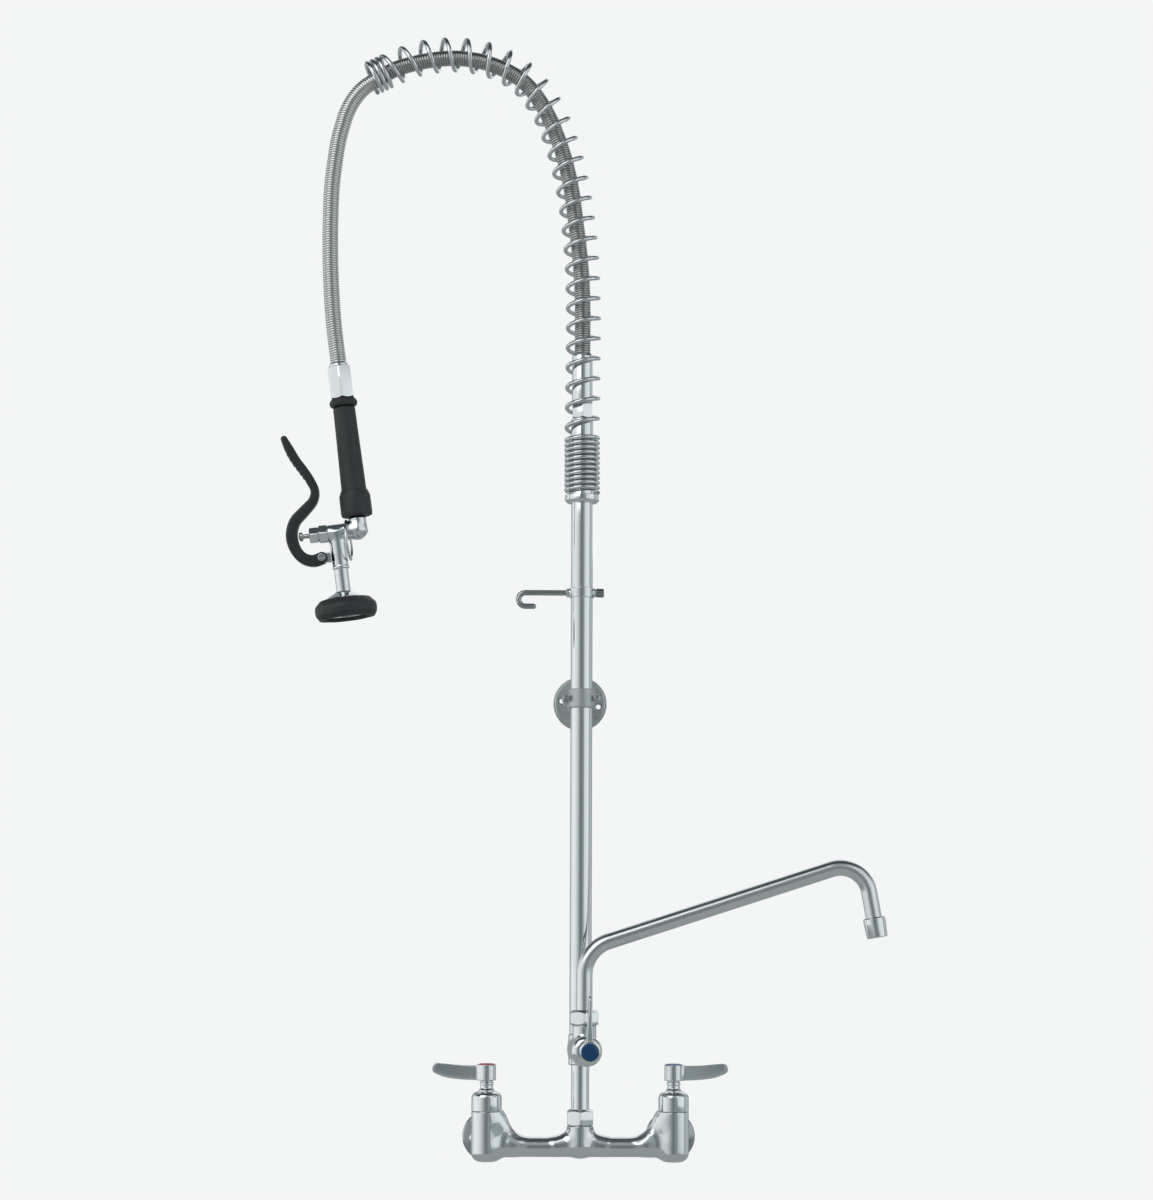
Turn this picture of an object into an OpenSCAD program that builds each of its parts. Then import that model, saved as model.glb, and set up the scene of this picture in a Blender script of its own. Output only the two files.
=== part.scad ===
// Wall-mounted pre rinse faucet: two-handle mixing base, add-on faucet with a swing
// nozzle, riser with wall bracket and finger hook, overhead spring, flexible hose
// and a squeeze-lever spray valve.
// Millimetres, +Z up. The origin lies on the wall, midway between the two inlets and
// at their height. -Y points away from the wall, to the user.

/* [Mixing base] */
// Distance between the two inlets
inlet_centres = 203.2; // [190:0.1:230]
// Distance from the wall to the axis of the riser
wall_projection = 76; // [72:1:100]
// Diameter of an upright valve column
column_d = 33; // [32:0.5:38]
// Height of a column above the inlet axis
column_rise = 31; // [30:0.5:36]
// Depth of a column below the inlet axis
column_drop = 23; // [21:0.5:28]
// Diameter of the crossbar
barrel_d = 21.5; // [20:0.5:24]
// Distance of the crossbar's axis below the inlet axis
barrel_drop = 7; // [6:0.5:9]
// Diameter of the hub in the middle of the crossbar
hub_d = 29; // [29:0.5:34]
// Height of the hub's top face above the inlet axis
hub_rise = 15.5; // [14:0.5:20]
// Diameter of an inlet flange
flange_d = 55; // [50:1:64]
// Thickness of an inlet flange
flange_t = 6; // [5:0.5:9]
// Wall radius of the tapped inlet, for a half inch pipe thread
inlet_thread_r = 9.15; // [9:0.05:9.5]
// Depth of the tapped inlet
inlet_thread_depth = 15; // [12:0.5:17]

/* [Valves and handles] */
// Height of a bonnet
bonnet_h = 21.5; // [19:0.5:26]
// Radius of the cartridge's neck above the bonnet
neck_r = 7.35; // [6.5:0.05:8]
// Height of the neck that shows above the bonnet
neck_h = 11.5; // [9:0.5:15]
// Diameter of a handle's hub
handle_hub_d = 20; // [19.5:0.1:23]
// Height of a handle's hub
handle_hub_h = 17.5; // [16:0.5:22]
// Reach of a handle's blade from its axis
handle_reach = 60; // [50:1:80]
// Diameter of the coloured index
index_d = 18.4; // [17:0.1:18.6]
// Radius of a valve stem
stem_r = 4.5; // [4:0.05:5]

/* [Lower nipple and add-on faucet] */
// Height of the outlet nut on the hub
outlet_nut_h = 18; // [15:0.5:22]
// Outside radius of the lower nipple
nipple_r = 9.85; // [9.3:0.05:10.4]
// Height of the add-on faucet's lower end above the inlet axis
add_on_z = 81; // [70:1:140]
// Height of the add-on faucet's upright body
add_on_h = 33.5; // [33:0.5:40]
// Turn of the add-on faucet about the riser
add_on_turn = 4.5; // [-20:0.5:20]
// Distance from the riser's axis to the nozzle's axis
nozzle_out = 42; // [40:0.5:44]
// Height of the nozzle nut
nozzle_nut_h = 17; // [15:0.5:20]
// Outside diameter of the nozzle tube
nozzle_d = 17.5; // [16:0.25:19]
// Reach of the nozzle from its upright leg to its outlet
nozzle_reach = 315; // [200:5:360]
// Rise of the nozzle's arm above the horizontal
nozzle_rise = 18; // [10:1:25]
// Outward lean of the nozzle's outlet leg
nozzle_lean = 10; // [0:1:12]
// Bend radius at the foot of the nozzle's arm
nozzle_foot_bend = 38; // [20:1:45]
// Bend radius at the end of the nozzle's arm
nozzle_end_bend = 38; // [25:1:40]

/* [Riser, hook and wall bracket] */
// Outside diameter of the riser
riser_d = 24; // [22:0.5:26]
// Length of the riser above the add-on faucet
riser_len = 660; // [560:5:760]
// Height of the finger hook above the inlet axis
hook_z = 598; // [520:1:640]
// Diameter of the finger hook's rod
hook_rod_d = 6.2; // [5:0.1:7]
// Distance from the riser's axis to the tip of the finger hook
hook_reach = 73; // [60:1:100]
// Height of the wall bracket above the inlet axis
bracket_z = 480.5; // [300:0.5:510]
// Diameter of the wall bracket's flange
bracket_flange_d = 60; // [58:1:76]
// Diameter of the circle of screw holes in the bracket's flange
bracket_pcd = 41.6; // [41:0.2:46]
// Radius of a screw hole in the bracket's flange
bracket_hole_r = 2.75; // [2:0.05:3.25]

/* [Spring and hose] */
// Outside diameter of the overhead spring
spring_od = 40; // [40:0.5:44]
// Diameter of the spring's wire
spring_wire = 5; // [4:0.1:5]
// Closed turns at the spring's foot
foot_turns = 11; // [8:1:12]
// Open turns along the spring's arch
open_turns = 26; // [20:1:30]
// Closed turns at the spring's far end
end_turns = 3.5; // [2:0.5:5]
// Rise of one closed turn at the spring's foot
closed_pitch = 5.6; // [5.6:0.1:6.4]
// Rise of one closed turn at the spring's far end
end_pitch = 5.9; // [5.7:0.1:7.5]
// Outside diameter of the hose
hose_d = 18; // [16:0.5:18]
// Bore of the hose
hose_bore = 12; // [9:0.5:13]
// Ribs on the free hose
hose_ribs = 110; // [60:1:115]

/* [Spray valve] */
// Tilt of the spray unit's handle from the upright
spray_tilt = 7.5; // [0:0.5:12]
// Length of the ferrule at the hose's end
ferrule_len = 41; // [36:1:46]
// Distance from the handle collar's top to the valve's cross axis
valve_drop = 148; // [146:1:170]
// Radius of the grip
grip_r = 13.2; // [12:0.1:14.5]
// Sideways distance from the grip's axis to the spray head's axis
head_offset = 24.5; // [24:0.5:30]
// Distance from the cross axis down to the bumper's top
head_drop = 75; // [70:1:90]
// Diameter of the bumper
bumper_d = 69; // [62:1:76]
// Height of the bumper
bumper_h = 21.5; // [18:0.5:25]
// Width of the lever
lever_w = 16; // [15:0.5:20]
// Diameter of the hold-down ring's wire
ring_wire = 3; // [2.4:0.1:3.2]

/* [Hidden] */
$fn = 48;

// Finishes
chrome = "#c8cdd1";
steel = "#b4babd";
bracket_grey = "#8f9694";
black_rubber = "#2b2d2f";
fibre = "#6b4a3a";
hot_red = "#c3202b";
cold_blue = "#1f4fa8";
add_on_blue = "#0a3760";

// Clearances
run_gap = 0.05;   // radial gap of a running or threaded fit
seat_gap = 0.1;   // gap between faces that are drawn up together
free_gap = 0.3;   // gap between pieces that move past each other

// Mixing base
water_r = 6.35;
tail_len = 21;
tail_r = 12;
shoulder_r = 14;
shoulder_t = 3;
nut_lip_t = 3;
washer_t = 2;
inlet_nut_af = 34;
inlet_nut_thread = 10;
arm_r = 13;
tail_face_y = flange_t + tail_len;
arm_face_y = tail_face_y + washer_t;
column_r = column_d / 2;
column_x = inlet_centres / 2;
web_t = 12;
hub_r = hub_d / 2;
boss_r = hub_r - 2.5;
boss_h = 11;

// Valve stack, measured from the top face of a column
skirt_r = 13;
skirt_depth = 9;
cartridge_r = 10.9;
cartridge_depth = 27;
cartridge_top = 10;
hub_base = bonnet_h + neck_h;
hub_top = hub_base + handle_hub_h;
index_depth = 2;
index_crown = 0.7;
screw_head_r = 4;
screw_head_h = 3;
screw_r = 2;
handle_floor = hub_top - 7.5;
stem_top = handle_floor - seat_gap;
stem_foot = -5;
blade_root_w = 9;
blade_tip_w = 3.2;

// Lower nipple
nipple_shoulder_t = 3;
seal_t = 1.5;
nipple_foot_z = hub_rise + boss_h + seal_t;
nipple_bore_r = 6.5;
nipple_engage = 12;
outlet_nut_af = hub_d - 1;

// Add-on faucet
add_on_top = add_on_z + add_on_h;
add_on_axis = add_on_z + 17.3;
add_on_barrel_r = column_r - 0.5;
add_on_face = nozzle_out + 13;
add_on_neck_r = add_on_barrel_r - 2;
add_on_r = max(riser_d / 2, nipple_r + 1.5) + 1;
riser_spigot_r = riser_d / 2 - 1.6;
riser_spigot_len = 13;
riser_bore_r = riser_d / 2 - 3;
nozzle_r = nozzle_d / 2;
nozzle_bore_r = nozzle_r - 1.4;
nozzle_run_over = 0.08;   // the straight runs are this much wider than the bends
nozzle_fit_r = nozzle_r + nozzle_run_over + run_gap;
boss_z = add_on_z + 43.2;
nozzle_boss_r = 12.9;
nozzle_thread_r = 12.2;
nozzle_boss_top = boss_z + 8;
nozzle_lip_t = 4.2;
nozzle_collar_r = 11.8;
nozzle_foot_z = nozzle_boss_top - 18;
nozzle_corner_z = boss_z + 82.2;
outlet_r = 12;
outlet_h = 22;
outlet_engage = 11;
outlet_band_h = 7;
nozzle_end_drop = 75;
o_ring_r = 1.3;

// Riser and what it carries
riser_foot_z = add_on_top;
riser_top_z = riser_foot_z + riser_len;
riser_r = riser_d / 2;
hook_band_t = 1.4;
hook_band_h = 11;
hook_bend_r = 7.5;
hook_tail = 12;
clamp_h = 21;
clamp_wall = 2.6;
clamp_ear_x = riser_r + 5;
clamp_ear_r = 4.8;
clamp_ear_len = 7;
clamp_split = 0.6;
clamp_screw_r = 2;
clamp_nut_w = 6.8;
bracket_flange_t = 5;
bracket_nipple_r = 8.6;
bracket_socket_r = 12;

// Spring and hose. Both routes start at the spring's foot, in the plane of the riser:
// the first number is sideways, the second is height.
spring_foot_z = riser_top_z - 69.5;
spring_r = (spring_od - spring_wire) / 2;
wire_r = spring_wire / 2;
steps_per_turn = 8;
wire_sides = 6;
spring_route = [
  [0, 0], [0, 36], [0, 72], [0.5, 125], [1, 175], [0.8, 220], [-0.8, 265], [-5, 310], [-12, 355],
  [-23, 399], [-41, 443], [-67, 477], [-102, 497], [-140, 504], [-178, 501], [-204, 492.5],
  [-224.5, 483], [-242, 474.5]
];
arch_route = [
  [0, 162], [0, 180], [0, 210], [-0.8, 240], [-3.5, 275], [-8, 312], [-14, 355], [-25, 398],
  [-43, 441], [-68, 474], [-103, 493], [-140, 500], [-176, 497], [-208, 488.5], [-222, 481.4],
  [-234, 474]
];
drop_route = [
  [-234, 474], [-240.5, 470], [-247.6, 464.6], [-255, 456.5], [-261.5, 446.5], [-267, 434.5],
  [-271, 421], [-275.5, 403], [-279, 379], [-282, 350], [-283, 317], [-283, 283], [-282, 250],
  [-280, 217], [-277.5, 190], [-274.6, 167.4], [-273.4, 158.5], [-272.2, 149.5]
];
curve_steps = 6;
hose_r = hose_d / 2;
hose_bore_r = hose_bore / 2;
rib_depth = 0.8;
hose_sides = 8;
arch_sides = 10;
arch_rings = 26;
bore_rings = 30;
holder_r = 13.4;
holder_top = 55;
spring_start = wire_r + 2.8;   // middle of the first turn above the route's start
spring_seat_z = spring_start - wire_r - 2 * free_gap;
spring_seat_r = spring_od / 2 - 1;
spring_seat_h = 9;
coupling_h = 19;
coupling_hex_h = 17;
lower_ferrule_r = 11.6;
lower_ferrule_bottom_z = riser_top_z + coupling_h + coupling_hex_h;
lower_ferrule_top_z = spring_foot_z + arch_route[0][1];

// Spray unit. Its frame has its origin on the grip's axis at the top of the handle's
// collar, with Z up the grip and X away from the lever.
hose_end = drop_route[len(drop_route) - 1];
ferrule_af = 25;
ferrule_hex_h = ferrule_len - 4.2;
ferrule_spigot_r = 8;
ferrule_spigot_len = 7;
collar_r = 16.5;
collar_h = 9;
socket_r = 10;
grip_len = 92;
grip_taper = 0.8;
tube_r = 7;
leg_r = 10;
leg_top = valve_drop - 14.7;
flare_r = 17.5;
valve_barrel_r = 9.5;
barrel_end_x = -(head_offset + 9.5);
head_r = 9;
bumper_wall = 10.2;
dome_r = bumper_d / 2 - bumper_wall;
down_tube_r = 8;
cap_hex_h = 10.5;
packing_hex_h = 10.5;
cap_hex_af = 18.5;
packing_hex_af = 16;
chamber_r = 6.1;
rod_r = 2.5;
button_r = 5;
cap_end_x = barrel_end_x - cap_hex_h - packing_hex_h;
button_tip_x = cap_end_x - 11.8;
button_len = 4.5;
seat_x = -18;
seat_t = 2;
disc_t = 3;
spring_room_r = 5.1;
rod_collar_x = barrel_end_x - cap_hex_h + 1.3;
pivot = [-(head_offset + 19.5), -(valve_drop + 26.5)];
pivot_r = 2.6;
lug_t = 7;
// Middle line of the lever in the spray frame, from its tip to its pivot, as offsets
// from the pivot, each with the lever's thickness there
lever_line = [
  [-26, 137, 7.5], [-21.2, 123.4, 10.5], [-15.9, 111.4, 10.5], [-9, 99.3, 10.5], [-2.6, 87.1, 10],
  [1, 75.4, 9.5], [-2.5, 64.5, 10], [-13.1, 54.6, 11.5], [-24.3, 44.7, 12], [-29.3, 34, 12.6],
  [-30.2, 22.9, 13], [-27, 11.2, 12.5], [-20, 2, 12], [-10, -2, 12.5], [0, 0, 13]
];
ring_r = 21.5;
ring_x = -12.5;
ring_turn = -4;
dome_top = head_drop - 8;
face_t = 5;
face_holes = 8;

// ---------- shared shapes and curves ----------

// Hexagonal nut with bevelled corners, standing on z = 0
module hex(af, h, bevel = 1.2) {
  corner_r = af / 2 / cos(30);
  intersection() {
    cylinder(r = corner_r, h = h, $fn = 6);
    rotate_extrude() polygon([[0, 0], [corner_r - bevel, 0], [corner_r, bevel], [corner_r, h - bevel],
                              [corner_r - bevel, h], [0, h]]);
  }
}

// Tube standing on z = 0
module tube(r, bore, h) {
  difference() {
    cylinder(r = r, h = h);
    translate([0, 0, -1]) cylinder(r = bore, h = h + 2);
  }
}

// Catmull-Rom curve through points, steps samples for each span
function spline_at(p, i, t) = let (
    n = len(p), a = p[max(i - 1, 0)], b = p[i], c = p[min(i + 1, n - 1)], d = p[min(i + 2, n - 1)])
  0.5 * (2 * b + (c - a) * t + (2 * a - 5 * b + 4 * c - d) * t * t + (3 * b - a - 3 * c + d) * t * t * t);
function spline(p, steps) = concat(
  [for (i = [0 : len(p) - 2], k = [0 : steps - 1]) spline_at(p, i, k / steps)], [p[len(p) - 1]]);

// Length of a polyline up to each of its points
function lengths(p, i = 0, total = 0, out = []) = i >= len(p) ? out
  : let (now = total + (i == 0 ? 0 : norm(p[i] - p[i - 1]))) lengths(p, i + 1, now, concat(out, [now]));

// Point of a polyline at distance s along it, l being its lengths
function point_at(p, l, s) = let (n = len(p), q = min(max(s, 0), l[n - 1]))
  [for (axis = [0 : len(p[0]) - 1]) lookup(q, [for (i = [0 : n - 1]) [l[i], p[i][axis]]])];

// Direction of a polyline at distance s along it
function heading_at(p, l, s) = let (
    step = 1.5, a = point_at(p, l, s - step), b = point_at(p, l, s + step)) (b - a) / norm(b - a);

function unit(v) = v / norm(v);

// Side walls and end caps of a tube of rings, each ring being a list of points
function wall_faces(rings, sides, first = 0) = [
  for (i = [0 : rings - 2], k = [0 : sides - 1], half = [0, 1])
    let (a = first + i * sides + k, b = first + i * sides + (k + 1) % sides, c = a + sides, d = b + sides)
    half == 0 ? [a, c, b] : [b, c, d]];
function cap_faces(rings, sides) = concat(
  [for (k = [1 : sides - 2]) [0, k, k + 1]],
  [for (k = [1 : sides - 2]) let (e = (rings - 1) * sides) [e, e + k + 1, e + k]]);

// Solid of round section along a route in the plane y = 0, which may have a bore.
// ring_s and ring_rad give the place and radius of each outer ring, bore_s of each inner one.
module swept_tube(route, ring_s, ring_rad, sides, bore_r = 0, bore_s = []) {
  line = spline(route, curve_steps);
  long = lengths(line);
  function ring_at(s, r) = let (c = point_at(line, long, s), t = heading_at(line, long, s))
    [for (k = [0 : sides - 1]) let (a = 360 * k / sides)
      [c[0] + r * cos(a) * t[1], r * sin(a), c[1] - r * cos(a) * t[0]]];
  outer = [for (i = [0 : len(ring_s) - 1]) each ring_at(ring_s[i], ring_rad[i])];
  if (bore_r == 0) {
    polyhedron(outer, concat(wall_faces(len(ring_s), sides), cap_faces(len(ring_s), sides)));
  } else {
    inner = [for (s = bore_s) each ring_at(s, bore_r)];
    m = len(ring_s);
    w = len(bore_s);
    base = m * sides;
    inside = [for (f = wall_faces(w, sides, base)) [f[0], f[2], f[1]]];
    mouth = [for (k = [0 : sides - 1], half = [0, 1])
      let (n = (k + 1) % sides, a = k, b = n, c = base + k, d = base + n)
      half == 0 ? [a, b, c] : [b, d, c]];
    tail = [for (k = [0 : sides - 1], half = [0, 1])
      let (n = (k + 1) % sides, e = (m - 1) * sides, f = base + (w - 1) * sides,
           a = e + k, b = e + n, c = f + k, d = f + n)
      half == 0 ? [a, c, b] : [b, c, d]];
    polyhedron(concat(outer, inner), concat(wall_faces(m, sides), inside, mouth, tail));
  }
}

// ---------- mixing base ----------

module at_riser(z = 0) translate([0, -wall_projection, z]) children();

// Places a part of the valve stack on the hot (-1) or cold (+1) column
module on_column(side) at_riser(column_rise)
  translate([side * column_x, 0, 0]) rotate([0, 0, side < 0 ? 180 : 0]) children();

module column_shape() {
  edge = 7;
  translate([0, 0, -column_drop]) rotate_extrude() polygon(concat(
    [[0, 0]],
    [for (a = [-90 : 15 : 0]) [column_r - edge + edge * cos(a), edge + edge * sin(a)]],
    [[column_r, column_drop + column_rise], [0, column_drop + column_rise]]));
}

module inlet_arm() {
  // arm from the column towards the wall, with its threaded end
  rotate([-90, 0, 0]) cylinder(r = arm_r, h = wall_projection - arm_face_y - inlet_nut_thread - 2);
  rotate([-90, 0, 0]) cylinder(r = shoulder_r, h = wall_projection - arm_face_y);
}

module column_web(side) {
  // web between a column and the crossbar
  hull() {
    translate([side * (column_x - column_r + 4), 0, -barrel_drop])
      cylinder(d = web_t, h = column_rise + barrel_drop - 0.5, $fn = 32);
    translate([side * (column_x - column_r - 12), 0, -barrel_drop])
      rotate([0, 90, 0]) cylinder(d = web_t, h = 10, center = true, $fn = 32);
  }
}

module hub_flare() {
  hull() {
    translate([0, 0, -barrel_drop]) cylinder(r = hub_r - 1, h = hub_rise + barrel_drop - 3, $fn = 32);
    translate([0, 0, -barrel_drop]) rotate([0, 90, 0])
      cylinder(r = barrel_d / 2 - 1, h = hub_d * 2.5, center = true, $fn = 32);
  }
}

module valve_bores() {
  // bores of a valve column or barrel, from its top face down -Z
  translate([0, 0, -skirt_depth - seat_gap]) cylinder(r = skirt_r + run_gap, h = skirt_depth + seat_gap + 1);
  translate([0, 0, -cartridge_depth - 1]) cylinder(r = cartridge_r + run_gap, h = cartridge_depth + 2);
}

module mixer_body() {
  color(chrome) at_riser() difference() {
    union() {
      for (side = [-1, 1]) {
        translate([side * column_x, 0, 0]) {
          column_shape();
          inlet_arm();
        }
        column_web(side);
      }
      translate([0, 0, -barrel_drop]) rotate([0, 90, 0]) cylinder(d = barrel_d, h = inlet_centres, center = true);
      translate([0, 0, -barrel_drop]) cylinder(r = hub_r, h = hub_rise + barrel_drop);
      translate([0, 0, -barrel_drop]) sphere(r = barrel_d / 2 + 1);
      cylinder(r = boss_r, h = hub_rise + boss_h);
      hub_flare();
    }
    for (side = [-1, 1]) translate([side * column_x, 0, 0]) {
      translate([0, 0, column_rise]) valve_bores();
      translate([0, 0, -barrel_drop - water_r - 1]) cylinder(r = 8, h = 20);
      rotate([-90, 0, 0]) cylinder(r = water_r, h = wall_projection);
    }
    translate([0, 0, -barrel_drop]) rotate([0, 90, 0]) cylinder(r = water_r, h = inlet_centres - 4, center = true);
    translate([0, 0, -barrel_drop]) cylinder(r = nipple_bore_r, h = hub_rise + boss_h + barrel_drop + 1);
  }
}

module inlet_flange() {
  // stands on the wall plane at an inlet, its axis along -Y
  rotate([90, 0, 0]) difference() {
    union() {
      rotate_extrude() polygon([[0, 0], [flange_d / 2, 0], [flange_d / 2, 2], [flange_d / 2 - 1.5, 3.6],
                                [tail_r + 4, flange_t], [0, flange_t]]);
      cylinder(r = tail_r, h = tail_face_y);
      translate([0, 0, tail_face_y - shoulder_t]) cylinder(r = shoulder_r - 0.2, h = shoulder_t);
    }
    translate([0, 0, -1]) cylinder(r = inlet_thread_r, h = inlet_thread_depth + 1);
    cylinder(r = water_r, h = tail_face_y + 1);
  }
}

module hot_inlet_flange() { color(chrome) translate([-column_x, 0, 0]) inlet_flange(); }
module cold_inlet_flange() { color(chrome) translate([column_x, 0, 0]) inlet_flange(); }

module inlet_coupling_nuts() {
  lip_y = tail_face_y - shoulder_t - seat_gap - nut_lip_t;
  nut_h = nut_lip_t + seat_gap + shoulder_t + washer_t + inlet_nut_thread;
  color(chrome) for (side = [-1, 1]) translate([side * column_x, -lip_y, 0]) rotate([90, 0, 0])
    difference() {
      hex(inlet_nut_af, nut_h);
      translate([0, 0, -1]) cylinder(r = tail_r + run_gap, h = nut_lip_t + 2);
      translate([0, 0, nut_lip_t]) cylinder(r = shoulder_r + run_gap, h = nut_h);
    }
}

module seal_washers() {
  color(fibre) {
    for (side = [-1, 1]) translate([side * column_x, -tail_face_y, 0]) rotate([90, 0, 0])
      tube(shoulder_r - 0.4, water_r + 1, washer_t);
    at_riser(hub_rise + boss_h) tube(boss_r - 0.4, nipple_bore_r + 0.5, seal_t);
    at_riser(riser_top_z) tube(riser_spigot_r - 0.2, riser_bore_r - 1.5, seal_t);
  }
}

// ---------- valve stack, in the frame of a column's top face ----------

module bonnet() {
  difference() {
    union() {
      rotate_extrude() polygon(concat(
        [[0, 0], [column_r, 0], [column_r, bonnet_h - 7]],
        [for (a = [15 : 15 : 90]) [column_r - 8 + 8 * cos(a), bonnet_h - 7 + 7 * sin(a)]],
        [[0, bonnet_h]]));
      translate([0, 0, -skirt_depth]) cylinder(r = skirt_r, h = skirt_depth + 1);
    }
    translate([0, 0, -skirt_depth - 1]) cylinder(r = cartridge_r + run_gap, h = skirt_depth + 1 + cartridge_top + seat_gap);
    cylinder(r = neck_r + run_gap, h = bonnet_h + 1);
  }
}

module cartridge() {
  color(steel) difference() {
    union() {
      translate([0, 0, -cartridge_depth]) cylinder(r = cartridge_r, h = cartridge_depth + cartridge_top);
      cylinder(r = neck_r, h = hub_base - free_gap);
    }
    translate([0, 0, stem_foot]) cylinder(r = stem_r + run_gap, h = hub_base + 10);
    translate([0, 0, -cartridge_depth - 1]) cylinder(r = stem_r - 1, h = cartridge_depth);
  }
}

module stem() {
  color(steel) difference() {
    translate([0, 0, stem_foot + free_gap]) cylinder(r = stem_r, h = stem_top - stem_foot - free_gap);
    translate([0, 0, stem_top - 12]) cylinder(r = screw_r + run_gap, h = 13);
  }
}

module lever_handle() {
  color(chrome) difference() {
    union() {
      translate([0, 0, hub_base]) rotate_extrude() polygon([
        [0, 0], [handle_hub_d / 2 - 0.8, 0], [handle_hub_d / 2, 0.8], [handle_hub_d / 2, handle_hub_h - 0.6],
        [handle_hub_d / 2 - 0.4, handle_hub_h], [0, handle_hub_h]]);
      blade();
    }
    translate([0, 0, hub_base - 1]) cylinder(r = stem_r + run_gap, h = stem_top - hub_base + 1 + seat_gap);
    translate([0, 0, handle_floor - 1]) cylinder(r = screw_r + 0.3, h = 4);
    translate([0, 0, handle_floor + 2]) cylinder(r = screw_head_r + 0.5, h = 10);
    translate([0, 0, hub_top - index_depth]) cylinder(r = index_d / 2 + run_gap, h = index_depth + 1);
  }
}

module blade() {
  // tall fin from the hub out along +X, thin in plan, with a round tip
  tip_r = 5.5;
  difference() {
    hull() {
      translate([5, 0, hub_base + 0.6]) cylinder(d = blade_root_w, h = handle_hub_h - 1.4, $fn = 32);
      translate([handle_reach * 0.62, 0, hub_base + 2.2]) cylinder(d = 5, h = handle_hub_h - 3, $fn = 24);
      translate([handle_reach - tip_r, 0, hub_top - tip_r + 1])
        rotate([90, 0, 0]) cylinder(r = tip_r, h = blade_tip_w, center = true, $fn = 32);
    }
    translate([0, 0, hub_base - 1]) cylinder(r = handle_hub_d / 2 - 2, h = handle_hub_h + 4);
  }
}

module handle_screw() {
  color(steel) difference() {
    union() {
      translate([0, 0, handle_floor + 2]) cylinder(r = screw_head_r, h = screw_head_h);
      translate([0, 0, stem_top - 10]) cylinder(r = screw_r, h = handle_floor + 2.5 - stem_top + 10);
    }
    translate([0, 0, handle_floor + 3.4]) cylinder(r = 1.7, h = 3, $fn = 6);
  }
}

module index_button() {
  translate([0, 0, hub_top - index_depth]) rotate_extrude() polygon([
    [0, 0], [index_d / 2, 0], [index_d / 2, index_depth], [index_d / 2 - 1, index_depth + index_crown], [0, index_depth + index_crown]]);
}

module valve_bonnets() { color(chrome) for (side = [-1, 1]) on_column(side) bonnet(); }
module hot_cartridge() { on_column(-1) cartridge(); }
module cold_cartridge() { on_column(1) cartridge(); }
module hot_stem() { on_column(-1) stem(); }
module cold_stem() { on_column(1) stem(); }
module hot_handle() { on_column(-1) lever_handle(); }
module cold_handle() { on_column(1) lever_handle(); }
module hot_handle_screw() { on_column(-1) handle_screw(); }
module cold_handle_screw() { on_column(1) handle_screw(); }
module hot_index() { color(hot_red) on_column(-1) index_button(); }
module cold_index() { color(cold_blue) on_column(1) index_button(); }

// ---------- outlet nut and lower nipple ----------

module outlet_nut() {
  color(chrome) at_riser(hub_rise) difference() {
    rotate([0, 0, 30]) hex(outlet_nut_af, outlet_nut_h, 2);
    translate([0, 0, -1]) cylinder(r = boss_r + run_gap, h = nipple_foot_z + nipple_shoulder_t - hub_rise + seat_gap + 1);
    cylinder(r = nipple_r + run_gap, h = outlet_nut_h + 1);
  }
}

module lower_nipple() {
  color(chrome) at_riser() difference() {
    union() {
      translate([0, 0, nipple_foot_z]) cylinder(r = boss_r - 0.1, h = nipple_shoulder_t);
      translate([0, 0, nipple_foot_z]) cylinder(r = nipple_r, h = add_on_z + nipple_engage - nipple_foot_z);
    }
    translate([0, 0, nipple_foot_z - 1]) cylinder(r = nipple_bore_r, h = add_on_z + nipple_engage - nipple_foot_z + 2);
  }
}

// ---------- add-on faucet ----------

module at_add_on() at_riser() rotate([0, 0, add_on_turn]) children();

// Valve stack of the add-on faucet, its axis towards the user and its blade up
module on_add_on_valve() at_add_on()
  translate([0, -add_on_face, add_on_axis]) rotate([90, 0, 0]) rotate([0, 0, 90]) children();

module add_on_body() {
  color(chrome) at_add_on() difference() {
    union() {
      rotate_extrude() polygon([
        [0, add_on_z], [add_on_r - 1.8, add_on_z], [add_on_r, add_on_z + 2], [add_on_r, add_on_top - 1.6],
        [add_on_r - 1.6, add_on_top], [0, add_on_top]]);
      translate([0, 0, add_on_axis]) rotate([90, 0, 0]) rotate_extrude() polygon([
        [0, 0], [add_on_neck_r, 0], [add_on_neck_r, 20], [add_on_barrel_r, 25],
        [add_on_barrel_r, add_on_face], [0, add_on_face]]);
      translate([0, 0, add_on_axis]) sphere(r = add_on_neck_r);
      translate([0, -nozzle_out, add_on_axis]) cylinder(r = nozzle_boss_r, h = boss_z - add_on_axis);
      translate([0, -nozzle_out, add_on_axis]) cylinder(r = nozzle_thread_r, h = nozzle_boss_top - add_on_axis);
    }
    translate([0, 0, add_on_z - 1]) cylinder(r = nipple_r + run_gap, h = nipple_engage + 1 + seat_gap);
    translate([0, 0, add_on_z]) cylinder(r = nipple_bore_r, h = add_on_h);
    translate([0, 0, add_on_top - riser_spigot_len - seat_gap]) cylinder(r = riser_spigot_r + run_gap, h = riser_spigot_len + 1);
    translate([0, 0, add_on_top]) cylinder(r = add_on_r + 3, h = 5);
    translate([0, 0, add_on_axis]) rotate([90, 0, 0]) cylinder(r = 5, h = add_on_face);
    translate([0, -add_on_face, add_on_axis]) rotate([90, 0, 0]) valve_bores();
    translate([0, -nozzle_out, add_on_axis]) cylinder(r = nipple_bore_r, h = nozzle_foot_z - add_on_axis);
    translate([0, -nozzle_out, nozzle_foot_z - seat_gap]) cylinder(r = nozzle_fit_r, h = 30);
    for (z = nozzle_ring_z()) translate([0, -nozzle_out, z]) rotate_extrude()
      translate([nozzle_r + 0.35, 0]) circle(r = o_ring_r + run_gap);
  }
}

function nozzle_ring_z() = [nozzle_foot_z + 5, nozzle_foot_z + 11];

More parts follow.
